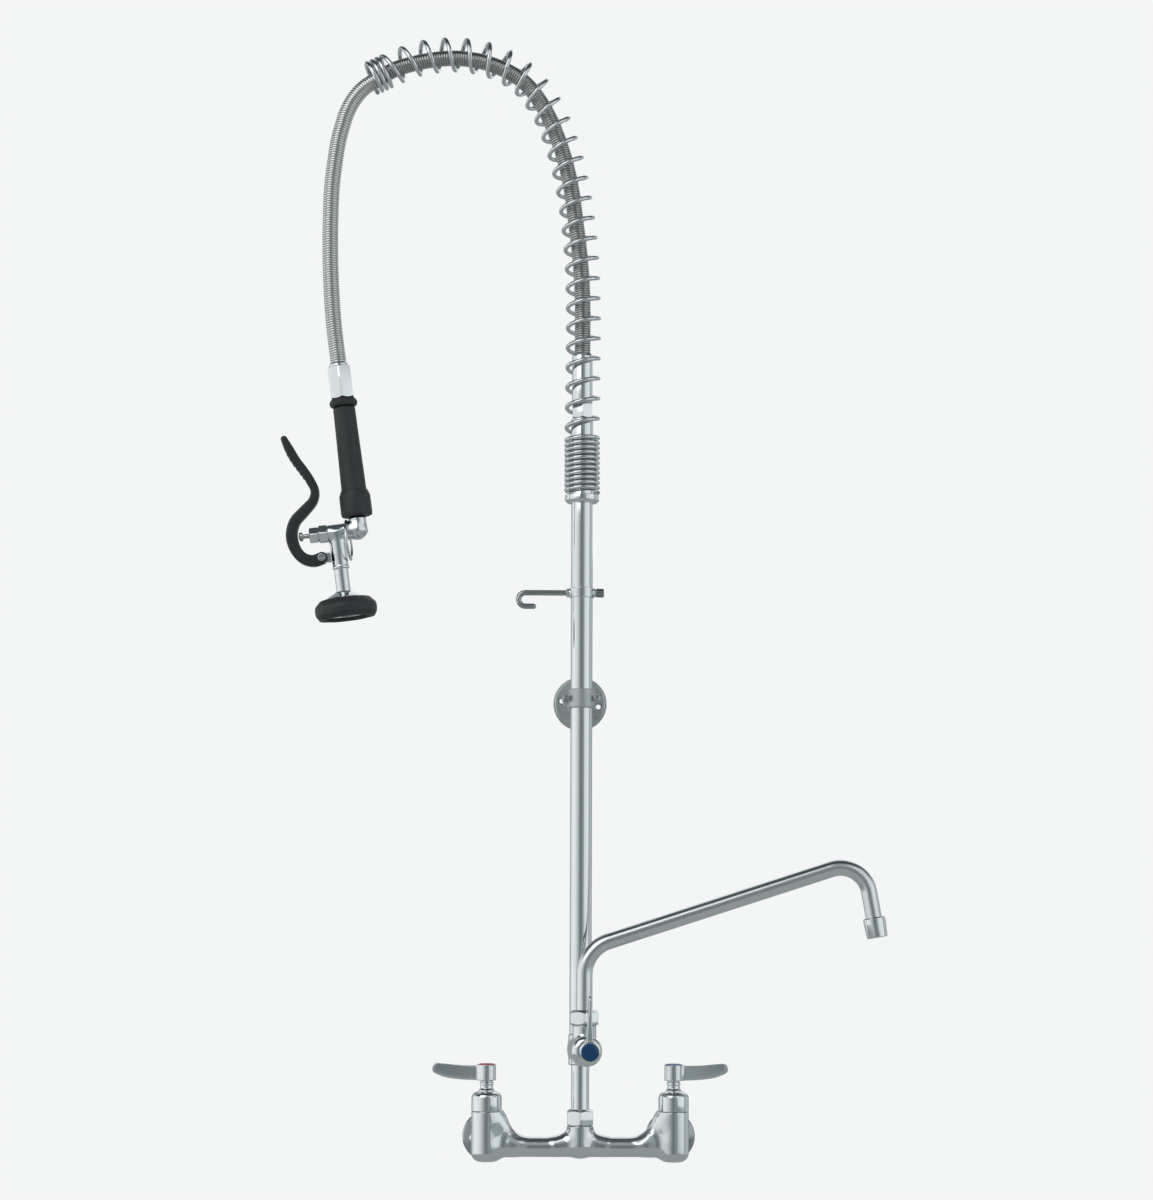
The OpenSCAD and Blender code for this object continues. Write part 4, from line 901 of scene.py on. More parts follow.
@dataclass
class Workshop:
    """Makes finished pieces, hangs them on their bodies and reports them."""

    nodes: dict[str, bpy.types.Object]
    made: list[str] = field(default_factory=list)

    def mesh(self, name: str, solids: Sequence[Solid], finish: Finish) -> Mesh:
        """Makes one mesh in metres from solids.

        Args:
            name: Name of the mesh.
            solids: The solids in the row's frame.
            finish: Their finish.

        Returns:
            The mesh, with smooth shading.
        """
        faces: list[list[int]] = []
        base = 0
        for solid in solids:
            faces.extend([[base + v for v in face] for face in solid.faces])
            base += len(solid.points)
        made = bpy.data.meshes.new(name)
        made.from_pydata((np.vstack([solid.points for solid in solids]) * MM).tolist(), [], faces)
        made.materials.append(finish.material())
        made.shade_smooth()
        normals = [solid.normals for solid in solids if solid.normals is not None]
        if len(normals) == len(solids):
            made.normals_split_custom_set_from_vertices(np.vstack(normals).tolist())
        else:
            made.set_sharp_from_angle(angle=math.radians(CREASE))
        return made

    def hang(self, name: str, mesh: Mesh, finish: Finish, body: str, nodes: Sequence[str] = ()) -> None:
        """Hangs a finished mesh on a body.

        Args:
            name: Name of the piece.
            mesh: Its mesh, in place.
            finish: Its finish, which is not used here.
            body: The body that it rides on.
            nodes: The CAD nodes that it stands for.
        """
        piece = linked(name, mesh)
        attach(piece, body)
        if nodes:
            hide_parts(*nodes)
        self.report(name, body, len(mesh.polygons))

    def piece(
        self, name: str, solids: Sequence[Solid], finish: Finish, body: str, nodes: Sequence[str]
    ) -> None:
        """Makes a mesh of solids and hangs it, with the arguments of both."""
        self.hang(name, self.mesh(name, solids, finish), finish, body, nodes)

    def dress(self, finish: Finish, *names: str) -> None:
        """Gives CAD nodes that stay a finish.

        Args:
            finish: The finish.
            *names: The nodes.
        """
        for name in names:
            node = self.nodes[name]
            if not node.material_slots:
                node.data.materials.append(finish.material())
            for holder in node.material_slots:
                holder.material = finish.material()
            self.report(name, "its own body", len(node.data.polygons))

    def report(self, name: str, body: str, faces: int) -> None:
        """Logs a piece and counts it."""
        self.made.append(name)
        LOG.info("%s on %s, %d faces", name, body, faces)


# ---- mixing base


@dataclass
class MixingBase:
    """The two-handle base: casting, inlets with their union nuts, outlet nut and lower nipple."""

    column_radius: float = 16.5
    column_drop: float = 23.0
    barrel_radius: float = 10.75
    barrel_drop: float = 7.0
    hub_radius: float = 14.5
    hub_rise: float = 15.5
    arm_radius: float = 13.0
    shoulder_radius: float = 14.0
    arm_face: float = 29.0
    flange_radius: float = 27.5
    flange_thickness: float = 6.0
    tail_radius: float = 12.0
    tail_face: float = 27.0
    thread_radius: float = 9.15
    thread_depth: float = 15.0
    thread_pitch: float = 1.81
    thread_height: float = 0.9
    water_radius: float = 6.35
    outlet_bore: float = 6.5
    flare_radius: float = 9.5
    web_radius: float = 7.0
    nut_flats: float = 34.0
    outlet_nut_flats: float = 28.0
    outlet_nut_height: float = 18.0
    nipple_radius: float = 9.85
    nipple_foot: float = 28.0
    nipple_top: float = 93.0

    def casting(self) -> Solid:
        """Makes the body casting, whose columns and hub flow into the crossbar."""
        reach, wall = LAYOUT.inlet_centres / 2, LAYOUT.wall_projection - self.arm_face
        top, bar_height = LAYOUT.column_rise, -self.barrel_drop
        columns, arms, flares, webs = [], [], [], []
        for s in (-1, 1):
            x = s * reach
            column = rod((x, 0, -self.column_drop), (x, 0, top + 12), self.column_radius, 10.0)
            columns.append(cut(column, 1.2, block((x, 0, top + 20), (60, 60, 40), SHARP)))
            arm = rod((x, 0, 0), (x, wall - 8, 0), self.arm_radius)
            arms.append(joined(2.5, arm, rod((x, wall - 10, 0), (x, wall, 0), self.shoulder_radius, 0.5)))
            # A flare carries the crossbar into the hub and a web carries it up into the column
            flares.append(rod((4 * s, 0, 3), (30 * s, 0, bar_height), self.flare_radius, 4.0))
            web_top, web_foot = s * (reach - 12.6), s * (reach - 31.6)
            webs.append(rod((web_top, 0, 24), (web_foot, 0, bar_height), self.web_radius, 4.0))
        bar = rod((-reach, 0, bar_height), (reach, 0, bar_height), self.barrel_radius)
        hub = joined(
            5.0,
            post(bar_height, self.hub_rise, self.hub_radius, 0.8),
            ball((0, 0, bar_height), self.barrel_radius + 1),
        )
        body = joined(7.0, joined(1.0, *columns), joined(5.0, joined(5.0, bar, hub), *flares))
        body = joined(14.0, body, joined(1.0, *webs))
        whole = cut(joined(5.0, body, joined(1.0, *arms)), 0.6, post(0, 30, self.outlet_bore, SHARP))
        side = reach + self.column_radius + 2
        return skin(whole, (-side, -20, -28), (side, wall + 1, top + 2), cell=0.9).moved(LAYOUT.riser())

    def inlet_flange(self, side: int) -> Solid:
        """Makes a wall flange with its tapped inlet and its threaded tail."""
        thread: list[Corner] = []
        for k in range(int(self.thread_depth / self.thread_pitch)):
            low = 0.8 + k * self.thread_pitch
            crest = self.thread_radius + self.thread_height
            thread += [(self.thread_radius, low, 0), (crest, low + self.thread_pitch / 2, 0)]
        outline: list[Corner] = [
            (0, self.tail_face - 1, 0), (self.water_radius, self.tail_face - 1, 0.3),
            (self.water_radius, self.thread_depth, 0.3), (self.thread_radius, self.thread_depth - 0.4, 0.2),
            *thread[::-1],
            (self.thread_radius + 0.8, 0, 0.2), (self.flange_radius - 0.4, 0, 0.3),
            (self.flange_radius, 0.5, 0.3), (self.flange_radius, 2.2, 0.6),
            (self.flange_radius - 1.6, 3.7, 1.2), (self.tail_radius + 4.2, self.flange_thickness, 2.5),
            (self.tail_radius, self.flange_thickness + 1.4, 1.5),
            (self.tail_radius, self.tail_face - 3, 0.3),
            (self.shoulder_radius - 0.2, self.tail_face - 3, 0.3),
            (self.shoulder_radius - 0.2, self.tail_face, 0.3), (0, self.tail_face, 0),
        ]  # fmt: skip
        return turned(outline, ROUND).moved(LAYOUT.inlet(side))

    def coupling_nut(self, side: int) -> Solid:
        """Makes the nut that draws a flange's tail to the casting's arm."""
        lip = self.tail_face - 6.1
        bore = (self.tail_radius + CLEARANCE, self.shoulder_radius + CLEARANCE)
        return hex_nut(self.nut_flats, 18.1, bore).moved(LAYOUT.inlet(side) @ shift(0, 0, lip))

    def build(self, shop: Workshop) -> None:
        """Makes the base's pieces.

        Args:
            shop: Hangs and reports them.
        """
        shop.piece("mixer_casting", [self.casting()], CAST_CHROME, "fixed", ["mixer_body"])
        for side, name in ((-1, "hot"), (1, "cold")):
            node = f"{name}_inlet_flange"
            # The flanges' darker finish is painted shade from the columns
            shop.piece(f"{name}_wall_flange", [self.inlet_flange(side)], FLANGE_CHROME_PAINTED_SHADE, "fixed", [node])
        nuts = [self.coupling_nut(side) for side in (-1, 1)]
        shop.piece("inlet_union_nuts", nuts, TUBE_CHROME, "fixed", ["inlet_coupling_nuts"])
        bore = (12.1, self.nipple_radius + CLEARANCE)
        outlet = hex_nut(self.outlet_nut_flats, self.outlet_nut_height, bore, 0.83, 0.8)
        outlet = outlet.moved(LAYOUT.riser(self.hub_rise) @ CORNER_FRONT)
        shop.piece("hub_outlet_nut", [outlet], TUBE_CHROME, "fixed", ["outlet_nut"])
        nipple = turned(
            [
                (self.outlet_bore, self.nipple_foot, 0.3), (11.9, self.nipple_foot, 0.3),
                (11.9, self.nipple_foot + 3, 0.4), (self.nipple_radius, self.nipple_foot + 3, 0.3),
                (self.nipple_radius, self.nipple_top, 0.6), (self.outlet_bore, self.nipple_top, 0.3),
            ]
        )  # fmt: skip
        shop.piece("base_nipple", [nipple.moved(LAYOUT.riser())], TUBE_CHROME, "fixed", ["lower_nipple"])
        shop.dress(FIBRE, "seal_washers")


# ---- valve stacks


@dataclass
class ValveStack:
    """Bonnet, cartridge neck, lever handle and index of one valve, on its own frame."""

    name: str
    place: Matrix
    handle_body: str
    index_finish: Finish
    bonnet_radius: float = 16.5
    bonnet_height: float = 21.5
    neck_radius: float = 7.35
    hub_radius: float = 10.0
    hub_foot: float = 33.0
    hub_top: float = 50.5
    index_radius: float = 9.2
    index_depth: float = 2.0
    index_crown: float = 1.2
    # Middle line of the blade as x, z and half height, with the hub's foot at z = 33
    blade_line: tuple[Point, ...] = (
        (4.0, 41.6, 8.0), (20.0, 41.6, 7.8), (34.0, 42.4, 7.6), (45.0, 43.9, 7.2), (53.8, 46.0, 5.8),
    )  # fmt: skip
    root_thickness: float = 8.6
    tip_thickness: float = 3.4
    blade_edge: float = 0.9

    def bonnet(self) -> Solid:
        """Makes the domed bonnet, open for the cartridge's neck."""
        r, h = self.bonnet_radius, self.bonnet_height
        quarter = np.linspace(0, math.pi / 2, 19)
        outline: list[Corner] = [
            (self.neck_radius + 0.1, 0.25, 0.2), (r - 0.5, 0.25, 0.2), (r, 0.8, 0.4),
            *((r - 8 + 8 * math.cos(a), h - 7 + 7 * math.sin(a), 0.0) for a in quarter),
            (self.neck_radius + 0.1, h, 0.3),
        ]  # fmt: skip
        return turned(outline, ROUND).moved(self.place)

    def cartridge(self) -> Solid:
        """Makes the cartridge, whose grooved neck shows above the bonnet."""
        r, h = self.neck_radius, self.bonnet_height
        outline: list[Corner] = [
            (0, 1, 0), (r, 1, 0.2), (r, h - 1, 0), (r + 1.5, h - 0.3, 0.3), (r + 1.3, h + 1.2, 0.5),
            (r - 0.3, h + 3.4, 1.5), (r - 0.5, h + 6.6, 0.4), (r + 0.1, h + 7.2, 0.3),
            (r + 0.1, h + 9.6, 0.3), (r - 0.7, h + 10.2, 0.3), (r - 0.7, self.hub_foot - 0.25, 0.2),
            (0, self.hub_foot - 0.25, 0),
        ]  # fmt: skip
        return turned(outline, 72).moved(self.place)

    def handle(self) -> Solid:
        """Makes the lever handle: a round hub that flows into a tall tapering blade."""
        line = spline(self.blade_line, 6)
        side_view = chain(line[:, :2], line[:, 2])
        root, tip = self.root_thickness / 2, self.tip_thickness / 2
        reach = self.blade_line[-1][0]

        def blade(p: np.ndarray) -> np.ndarray:
            """Signed distance to the blade."""
            along = np.clip((p[:, 0] - 8) / (reach - 8), 0, 1)
            half = root + (tip - root) * (1 - (1 - along) ** 1.6)
            outline = side_view(p)
            crown = 0.6 * np.clip(1 + outline / 7.5, 0, 1) ** 2
            flat = np.abs(p[:, 1]) - half + crown
            return np.maximum(outline, flat) + softened(outline, flat, self.blade_edge)

        hub = post(self.hub_foot, self.hub_top, self.hub_radius, 0.9)
        pocket = post(self.hub_top - self.index_depth, self.hub_top + 4, self.index_radius + CLEARANCE, SHARP)
        neck_room = post(self.hub_foot - 4, self.hub_foot + 1.2, self.neck_radius, SHARP)
        low = block((reach / 2, 0, self.hub_foot - 9.9), (200, 60, 20), SHARP)
        whole = cut(joined(2.6, hub, blade), 0.7, low, pocket, neck_room)
        solid = skin(whole, (-11, -11, self.hub_foot - 1), (reach + 7, 11, self.hub_top + 3), cell=0.62)
        return solid.moved(self.place)

    def index(self) -> Solid:
        """Makes the coloured index button, crowned and with a broken edge."""
        foot, top = self.hub_top - self.index_depth + 0.1, self.hub_top + self.index_crown
        outline: list[Corner] = [
            (0, foot, 0), (self.index_radius, foot, 0.2), (self.index_radius, top - 0.8, 0.5),
            (self.index_radius * 0.7, top - 0.12, 4.0), (0, top, 0),
        ]  # fmt: skip
        return turned(outline, 72, 5).moved(self.place)

    def build(self, shop: Workshop) -> Solid:
        """Makes the stack's pieces apart from its bonnet, which the caller hangs.

        Args:
            shop: Hangs and reports them.

        Returns:
            The bonnet.
        """
        name = self.name
        shop.piece(f"{name}_valve_neck", [self.cartridge()], TUBE_CHROME, "fixed", [f"{name}_cartridge"])
        shop.piece(f"{name}_lever", [self.handle()], CAST_CHROME, self.handle_body, [f"{name}_handle"])
        shop.piece(f"{name}_button", [self.index()], self.index_finish, self.handle_body, [f"{name}_index"])
        shop.dress(TURNED_STEEL, f"{name}_stem", f"{name}_handle_screw")
        return self.bonnet()


# ---- add-on faucet


@dataclass
class AddOnFaucet:
    """The add-on faucet's body, nozzle nut and swing nozzle."""

    foot: float = 81.0
    top: float = 114.5
    upright_radius: float = 13.0
    neck_radius: float = 14.0
    barrel_radius: float = 16.0
    boss_foot: float = 124.2
    boss_radius: float = 12.9
    thread_radius: float = 12.2
    nut_flats: float = 30.0
    nut_height: float = 17.0
    nozzle_radius: float = 8.75
    foot_bend: float = 38.0
    end_bend: float = 38.0
    corner_height: float = 206.4
    rise: float = 18.0
    lean: float = 10.0
    reach: float = 315.0
    end_drop: float = 75.0
    outlet_radius: float = 12.0
    outlet_height: float = 22.0
    outlet_engage: float = 11.0

    def body(self) -> Solid:
        """Makes the body casting round the riser, with its valve barrel and nozzle boss."""
        axis, out, face = LAYOUT.add_on_axis, LAYOUT.nozzle_out, LAYOUT.add_on_face
        upright = post(self.foot, self.top, self.upright_radius, 1.6)
        neck = rod((0, 0, axis), (0, -24, axis), self.neck_radius)
        neck = joined(1.0, neck, ball((0, 0, axis), self.neck_radius))
        barrel = rod((0, -23, axis), (0, -face, axis), self.barrel_radius, 1.0)
        boss = rod((0, -out, axis), (0, -out, self.boss_foot), self.boss_radius, 0.7)
        thread = rod((0, -out, axis), (0, -out, self.boss_foot + 8), self.thread_radius, 0.5)
        above = post(self.top, self.top + 8, self.upright_radius + 3, SHARP)
        cast = joined(3.0, joined(3.0, neck, upright), barrel, boss)
        whole = cut(joined(0.5, cast, thread), 0.8, above)
        solid = skin(whole, (-19, -face - 1, self.foot - 1), (19, 19, self.boss_foot + 10), cell=0.8)
        return solid.moved(LAYOUT.add_on())

    def line(self) -> np.ndarray:
        """Returns the nozzle's middle line, in the frame of its upright leg."""
        up, lean = math.radians(self.rise), math.radians(self.lean)
        arm = (self.reach - self.end_drop * math.sin(lean)) / math.cos(up)
        corner = np.array([0.0, self.corner_height])
        far = corner + arm * np.array([math.cos(up), math.sin(up)])
        end = far + self.end_drop * np.array([math.sin(lean), -math.cos(lean)])
        corners = [(0.0, self.boss_foot + 9, 0), (*corner, self.foot_bend), (*far, self.end_bend), (*end, 0)]
        flat = filleted(corners, False, 40)
        return np.stack([flat[:, 0], np.zeros(len(flat)), flat[:, 1]], axis=1)

    def outlet_place(self) -> Matrix:
        """Frame at the top of the nozzle's outlet, with Z down the outlet leg."""
        end = self.line()[-1]
        place = LAYOUT.nozzle() @ shift(end[0], 0, end[2]) @ turn("Y", 180 - self.lean)
        return place @ shift(0, 0, -self.outlet_engage)

    def outlet(self) -> Solid:
        """Makes the outlet's shell, a shouldered sleeve that narrows to its mouth."""
        r, h = self.outlet_radius, self.outlet_height
        outline: list[Corner] = [
            (self.nozzle_radius + CLEARANCE, 0, 0.3), (r - 1.2, 0, 0.5), (r, 1.2, 0.6), (r, 7.0, 1.0),
            (r - 0.8, h - 0.8, 0.6), (r - 1.6, h, 0.4), (r - 2.8, h, 0.3), (r - 2.8, h - 3.5, 0.2),
            (self.nozzle_radius + CLEARANCE, h - 3.5, 0.2),
        ]  # fmt: skip
        return turned(outline, 72, 5).moved(self.outlet_place())

    def build(self, shop: Workshop) -> None:
        """Makes the add-on faucet's pieces.

        Args:
            shop: Hangs and reports them.
        """
        shop.piece("add_on_casting", [self.body()], CAST_CHROME, "fixed", ["add_on_body"])
        bore = (self.thread_radius + CLEARANCE, self.nozzle_radius + CLEARANCE)
        nut = hex_nut(self.nut_flats, self.nut_height, bore, 0.83, 0.8)
        nut = nut.moved(LAYOUT.nozzle() @ shift(0, 0, self.boss_foot + 0.1) @ CORNER_FRONT)
        shop.piece("nozzle_gland_nut", [nut], TUBE_CHROME, "fixed", ["nozzle_nut"])
        tube = swept(self.line(), self.nozzle_radius, (0.6, 0.6), sides=48, spacing=2.0)
        shop.piece("nozzle_tube", [tube.moved(LAYOUT.nozzle())], NOZZLE_CHROME, "nozzle", ["swing_nozzle"])
        shop.piece("nozzle_outlet_sleeve", [self.outlet()], TUBE_CHROME, "nozzle", ["nozzle_outlet"])
        place = self.outlet_place() @ shift(0, 0, self.outlet_height - 2.2)
        plate = Perforations(self.outlet_radius - 2.85, 1.2, hole_radius=0.9, rings=((3.2, 6), (6.4, 12)))
        stream = plate.mesh("nozzle_stream_plate", TURNED_STEEL, place)
        shop.hang("nozzle_stream_plate", stream, TURNED_STEEL, "nozzle")
        shop.dress(BLACK_RUBBER, "nozzle_o_rings")


@dataclass
class Perforations:
    """A round plate with rings of holes and one in the middle."""

    radius: float
    thickness: float
    hole_radius: float
    rings: tuple[tuple[float, int], ...]

    def mesh(self, name: str, finish: Finish, place: Matrix) -> Mesh:
        """Drills the plate with a node tree and puts it in place.

        Args:
            name: Name of the mesh.
            finish: Its finish.
            place: The plate's frame, with Z through it.

        Returns:
            The plate's mesh.
        """
        sizes: dict[str, float | int] = {
            "Plate Radius": self.radius,
            "Thickness": self.thickness,
            "Hole Radius": self.hole_radius,
        }
        for k, (radius, count) in enumerate(self.rings):
            sizes[f"Ring {k + 1} Radius"] = float(radius)
            sizes[f"Ring {k + 1} Holes"] = count
        tool = GeometryTool(f"{name}_drilling", sizes)
        tree, size = tool.tree, tool.size
        plate, drill = (
            output(
                tree, "GeometryNodeMeshCylinder", {"Vertices": sides, "Radius": size(radius), "Depth": depth}
            )
            for sides, radius, depth in ((72, "Plate Radius", size("Thickness")), (16, "Hole Radius", 20.0))
        )
        drills = add(tree, "GeometryNodeJoinGeometry", {0: drill})
        for k in range(len(self.rings)):
            spots = {"Vertices": size(f"Ring {k + 1} Holes"), "Radius": size(f"Ring {k + 1} Radius")}
            ring = output(tree, "GeometryNodeMeshCircle", spots)
            spread = output(tree, "GeometryNodeInstanceOnPoints", {"Points": ring, "Instance": drill})
            tree.links.new(spread, drills.inputs[0])
        solid = output(tree, "GeometryNodeRealizeInstances", {"Geometry": drills.outputs[0]})
        drilled = output(tree, "GeometryNodeMeshBoolean", {0: plate, 1: solid}, operation="DIFFERENCE")
        made = tool.bake(name, drilled, finish)
        made.transform(metric(place))
        return made


# ---- riser and what it carries


@dataclass
class RiserAndSupports:
    """The riser tube, the finger hook on its clamp, and the wall bracket."""

    radius: float = 12.0
    spigot_radius: float = 10.4
    hook_rod_radius: float = 3.1
    hook_reach: float = 73.0
    hook_bend: float = 7.5
    hook_tail: float = 12.0
    band_height: float = 11.0
    band_thickness: float = 1.4
    screw_x: float = 15.6
    clamp_height: float = 21.0
    clamp_wall: float = 2.6
    ear_x: float = 17.0
    ear_radius: float = 4.8
    ear_length: float = 7.0
    flange_radius: float = 30.0
    flange_thickness: float = 5.0
    hole_circle: float = 41.6
    hole_radius: float = 2.75
    nipple_radius: float = 8.6

    def tube(self) -> Solid:
        """Makes the riser tube with its lower and upper spigots."""
        low, high = LAYOUT.riser_foot, LAYOUT.riser_top
        rows = [(self.radius, low + (high - low - 14) * k / 8, 0.0) for k in range(1, 8)]
        outline: list[Corner] = [
            (9.0, low - 13, 0.2), (self.spigot_radius, low - 13, 0.3),
            (self.spigot_radius, low + CLEARANCE, 0), (self.radius, low + CLEARANCE, 0.4),
            *rows,
            (self.radius, high - 14, 0.4), (self.spigot_radius, high - 14, 0),
            (self.spigot_radius, high, 0.3), (9.0, high, 0.2),
        ]  # fmt: skip
        return turned(outline, ROUND).moved(LAYOUT.riser())

    def hook_band(self) -> Solid:
        """Makes the clamp's band with its two bosses."""
        r, h = self.radius + CLEARANCE, self.band_height / 2
        band = post(-h, h, r + self.band_thickness, 0.5)
        bosses = [rod((0, 0, 0), (x, 0, 0), 4.8, 0.6) for x in (-self.radius - 5, self.radius + 3.5)]
        whole = cut(joined(1.6, band, *bosses), 0.5, post(-h - 5, h + 5, r, SHARP))
        band = skin(whole, (-19, -15, -h - 1), (17, 15, h + 1), cell=0.5)
        return band.moved(LAYOUT.riser(LAYOUT.hook_height))

    def hook(self) -> Solid:
        """Makes the hook's rod with its curled end."""
        bend_x = -(self.hook_reach - self.hook_bend - self.hook_rod_radius)
        arc = [
            (bend_x - self.hook_bend * math.sin(a), 0.0, -self.hook_bend * (1 - math.cos(a)))
            for a in np.linspace(0, math.pi, 25)
        ]
        end = (bend_x + self.hook_tail, 0, -2 * self.hook_bend)
        path = np.array([(-self.radius - 0.6, 0, 0), *arc, end], float)
        spans = [np.linspace(path[i], path[i + 1], 6)[:-1] for i in range(len(path) - 1)]
        dense = np.vstack([*spans, path[-1:]])
        bar = swept(dense, self.hook_rod_radius, (0.3, self.hook_rod_radius), sides=28, spacing=0.9)
        return bar.moved(LAYOUT.riser(LAYOUT.hook_height))

    def hook_screw(self) -> Solid:
        """Makes the clamp's screw: a shank, a round head and a socket."""
        x = self.screw_x
        head = turned(
            [
                (0, x - 3.2, 0), (2.5, x - 3.2, 0.3), (2.5, x - 0.02, 0), (4.1, x - 0.02, 0.3),
                (4.6, x + 0.5, 0.3), (4.6, x + 8.4, 0.4), (4.0, x + 9, 0.3), (2.3, x + 9, 0.2),
                (2.1, x + 6, 0), (0, x + 5.4, 0),
            ],
            60,
        )  # fmt: skip
        return head.moved(LAYOUT.riser(LAYOUT.hook_height) @ turn("Y", 90))

    def clamp_half(self, facing: int) -> Field:
        """Distance to a half of the bracket's clamp, on the -Y side or, with facing 1, behind.

        Args:
            facing: -1 for the front half, 1 for the rear half.

        Returns:
            A signed distance field.
        """
        r, h, y = self.radius + CLEARANCE, self.clamp_height / 2, facing * self.ear_length
        shell = post(-h, h, r + self.clamp_wall, 1.2)
        ears = [rod((x, 0, 0), (x, y, 0), self.ear_radius, 0.8) for x in (-self.ear_x, self.ear_x)]
        bridge = block((0, y / 2, 0), (2 * self.ear_x, self.ear_length, 2 * self.ear_radius), 0.5)
        parts = [shell, joined(1.0, bridge, *ears)]
        if facing > 0:
            parts.append(rod((0, 9, 0), (0, self.radius + self.clamp_wall + 14, 0), 12.0, 1.0))
        whole = joined(2.2, *parts)
        away = block((0, -facing * 49.4, 0), (200, 100, 100), SHARP)
        bore = post(-h - 8, h + 8, r, SHARP)
        return cut(whole, 0.7, away, bore)

    def flange(self) -> Solid:
        """Makes the bracket's wall flange with its hub and four countersunk holes."""
        r, t = self.flange_radius, self.flange_thickness
        plate = joined(1.0, post(0, t - 1.2, r, 0.8), post(0, t - 0.3, r - 2.2, 1.0))
        hub = post(0, 15, 12.5, 1.0)
        tools: list[Field] = [post(3.9, 18, self.nipple_radius + CLEARANCE, SHARP)]
        for k in range(4):
            a = math.radians(90 * k - 9)
            x, y = self.hole_circle / 2 * math.cos(a), self.hole_circle / 2 * math.sin(a)
            tools.append(rod((x, y, -2), (x, y, 8), self.hole_radius, SHARP))
            tools.append(self.countersink(x, y))
        whole = cut(joined(3.0, plate, hub), 0.5, *tools)
        solid = skin(whole, (-r - 1, -r - 1, -1), (r + 1, r + 1, 16), cell=0.6)
        return solid.moved(shift(0, 0, LAYOUT.bracket_height) @ turn("X", 90))

    def countersink(self, x: float, y: float) -> Field:
        """Distance to the cone that a flat screw head sits in."""
        top = self.flange_thickness + 0.4

        def distance(p: np.ndarray) -> np.ndarray:
            """Signed distance of points."""
            across = np.hypot(p[:, 0] - x, p[:, 1] - y)
            return (across - self.hole_radius - 2.8 + (top - p[:, 2])) * math.sqrt(0.5)

        return distance

    def clamp_fasteners(self, side: int) -> tuple[Solid, Solid]:
        """Makes a clamp screw and its square nut.

        Args:
            side: -1 or 1, which ear it is in.

        Returns:
            The screw and the nut.
        """
        place = LAYOUT.riser(LAYOUT.bracket_height) @ shift(side * self.ear_x)
        screw = turned(
            [
                (0, -12, 0), (1.6, -12, 0.2), (2.0, -11.5, 0.2), (2.0, 7.02, 0), (3.4, 7.02, 0.3),
                (3.4, 10.4, 0.5), (2.6, 11, 0.3), (1.7, 10.9, 0.2), (1.6, 8.6, 0), (0, 8.4, 0),
            ],
            40,
        ).moved(place @ turn("X", 90 * side))  # fmt: skip
        square = block((0, 0, 1.6), (6.8, 6.8, 3.2), 0.5)
        nut = skin(cut(square, 0.3, post(-2, 6, 2.05, SHARP)), (-4, -4, -1), (4, 4, 4), cell=0.35)
        at_nut = place @ shift(0, side * (self.ear_length + CLEARANCE)) @ turn("X", -90 * side)
        return screw, nut.moved(at_nut)

    def build(self, shop: Workshop) -> None:
        """Makes the riser's pieces.

        Args:
            shop: Hangs and reports them.
        """
        shop.piece("riser_tube", [self.tube()], TUBE_CHROME, "fixed", ["riser"])
        shop.piece("hook_band", [self.hook_band()], HOOK_BAND, "fixed", ["hook_clamp"])
        shop.piece("hook_rod", [self.hook()], HOOK_STEEL, "fixed", ["finger_hook"])
        shop.piece("hook_set_screw", [self.hook_screw()], HOOK_STEEL, "fixed", ["hook_screw"])
        shop.hang("hook_screw_knurl", self.knurl(), HOOK_STEEL, "fixed")
        at_bracket = LAYOUT.riser(LAYOUT.bracket_height)
        reach = self.ear_x + self.ear_radius + 1
        for facing, label in ((-1, "front"), (1, "rear")):
            low = (-reach, -17 if facing < 0 else 0, -13)
            high = (reach, 0 if facing < 0 else 31, 13)
            half = skin(self.clamp_half(facing), low, high, cell=0.6).moved(at_bracket)
            shop.piece(f"bracket_{label}_half", [half], BRACKET_PLATE, "fixed", [f"bracket_clamp_{label}"])
        screws, nuts = zip(*(self.clamp_fasteners(side) for side in (-1, 1)))
        shop.piece("bracket_screws", screws, TURNED_STEEL, "fixed", ["clamp_screws"])
        shop.piece("bracket_square_nuts", nuts, TURNED_STEEL, "fixed", ["clamp_nuts"])
        inner, outer = self.nipple_radius - 2.6, self.nipple_radius
        length = LAYOUT.wall_projection - self.radius - self.clamp_wall - 6.1
        outline = [(inner, 0, 0.2), (outer, 0, 0.3), (outer, length, 0.3), (inner, length, 0.2)]
        nipple = turned(outline, 60).moved(shift(0, -4, LAYOUT.bracket_height) @ turn("X", 90))
        shop.piece("bracket_stub_tube", [nipple], TUBE_CHROME, "fixed", ["bracket_nipple"])
        shop.piece("bracket_wall_plate", [self.flange()], BRACKET_PLATE, "fixed", ["bracket_flange"])

    def knurl(self) -> Mesh:
        """Makes the ridges round the hook screw's head with a node tree."""
        tool = GeometryTool(
            "screw_knurling", {"Ridges": 26, "Head Radius": 4.6, "Ridge Width": 0.62, "Ridge Length": 7.2}
        )
        tree, size = tool.tree, tool.size
        ring = output(
            tree, "GeometryNodeMeshCircle", {"Vertices": size("Ridges"), "Radius": size("Head Radius")}
        )
        width, length = size("Ridge Width"), size("Ridge Length")
        box = output(tree, "ShaderNodeCombineXYZ", {0: width, 1: width, 2: length})
        ridge = output(tree, "GeometryNodeMeshCube", {"Size": box})
        spot = output(tree, "GeometryNodeInputPosition")
        facing = output(tree, "FunctionNodeAlignRotationToVector", {"Vector": spot}, axis="X")
        inputs = {"Points": ring, "Instance": ridge, "Rotation": facing}
        ridges = output(tree, "GeometryNodeInstanceOnPoints", inputs)
        made = tool.bake("hook_screw_knurl", ridges, HOOK_STEEL)
        place = LAYOUT.riser(LAYOUT.hook_height) @ turn("Y", 90) @ shift(0, 0, self.screw_x + 4.5)
        made.transform(metric(place))
        return made


# ---- spring and hose


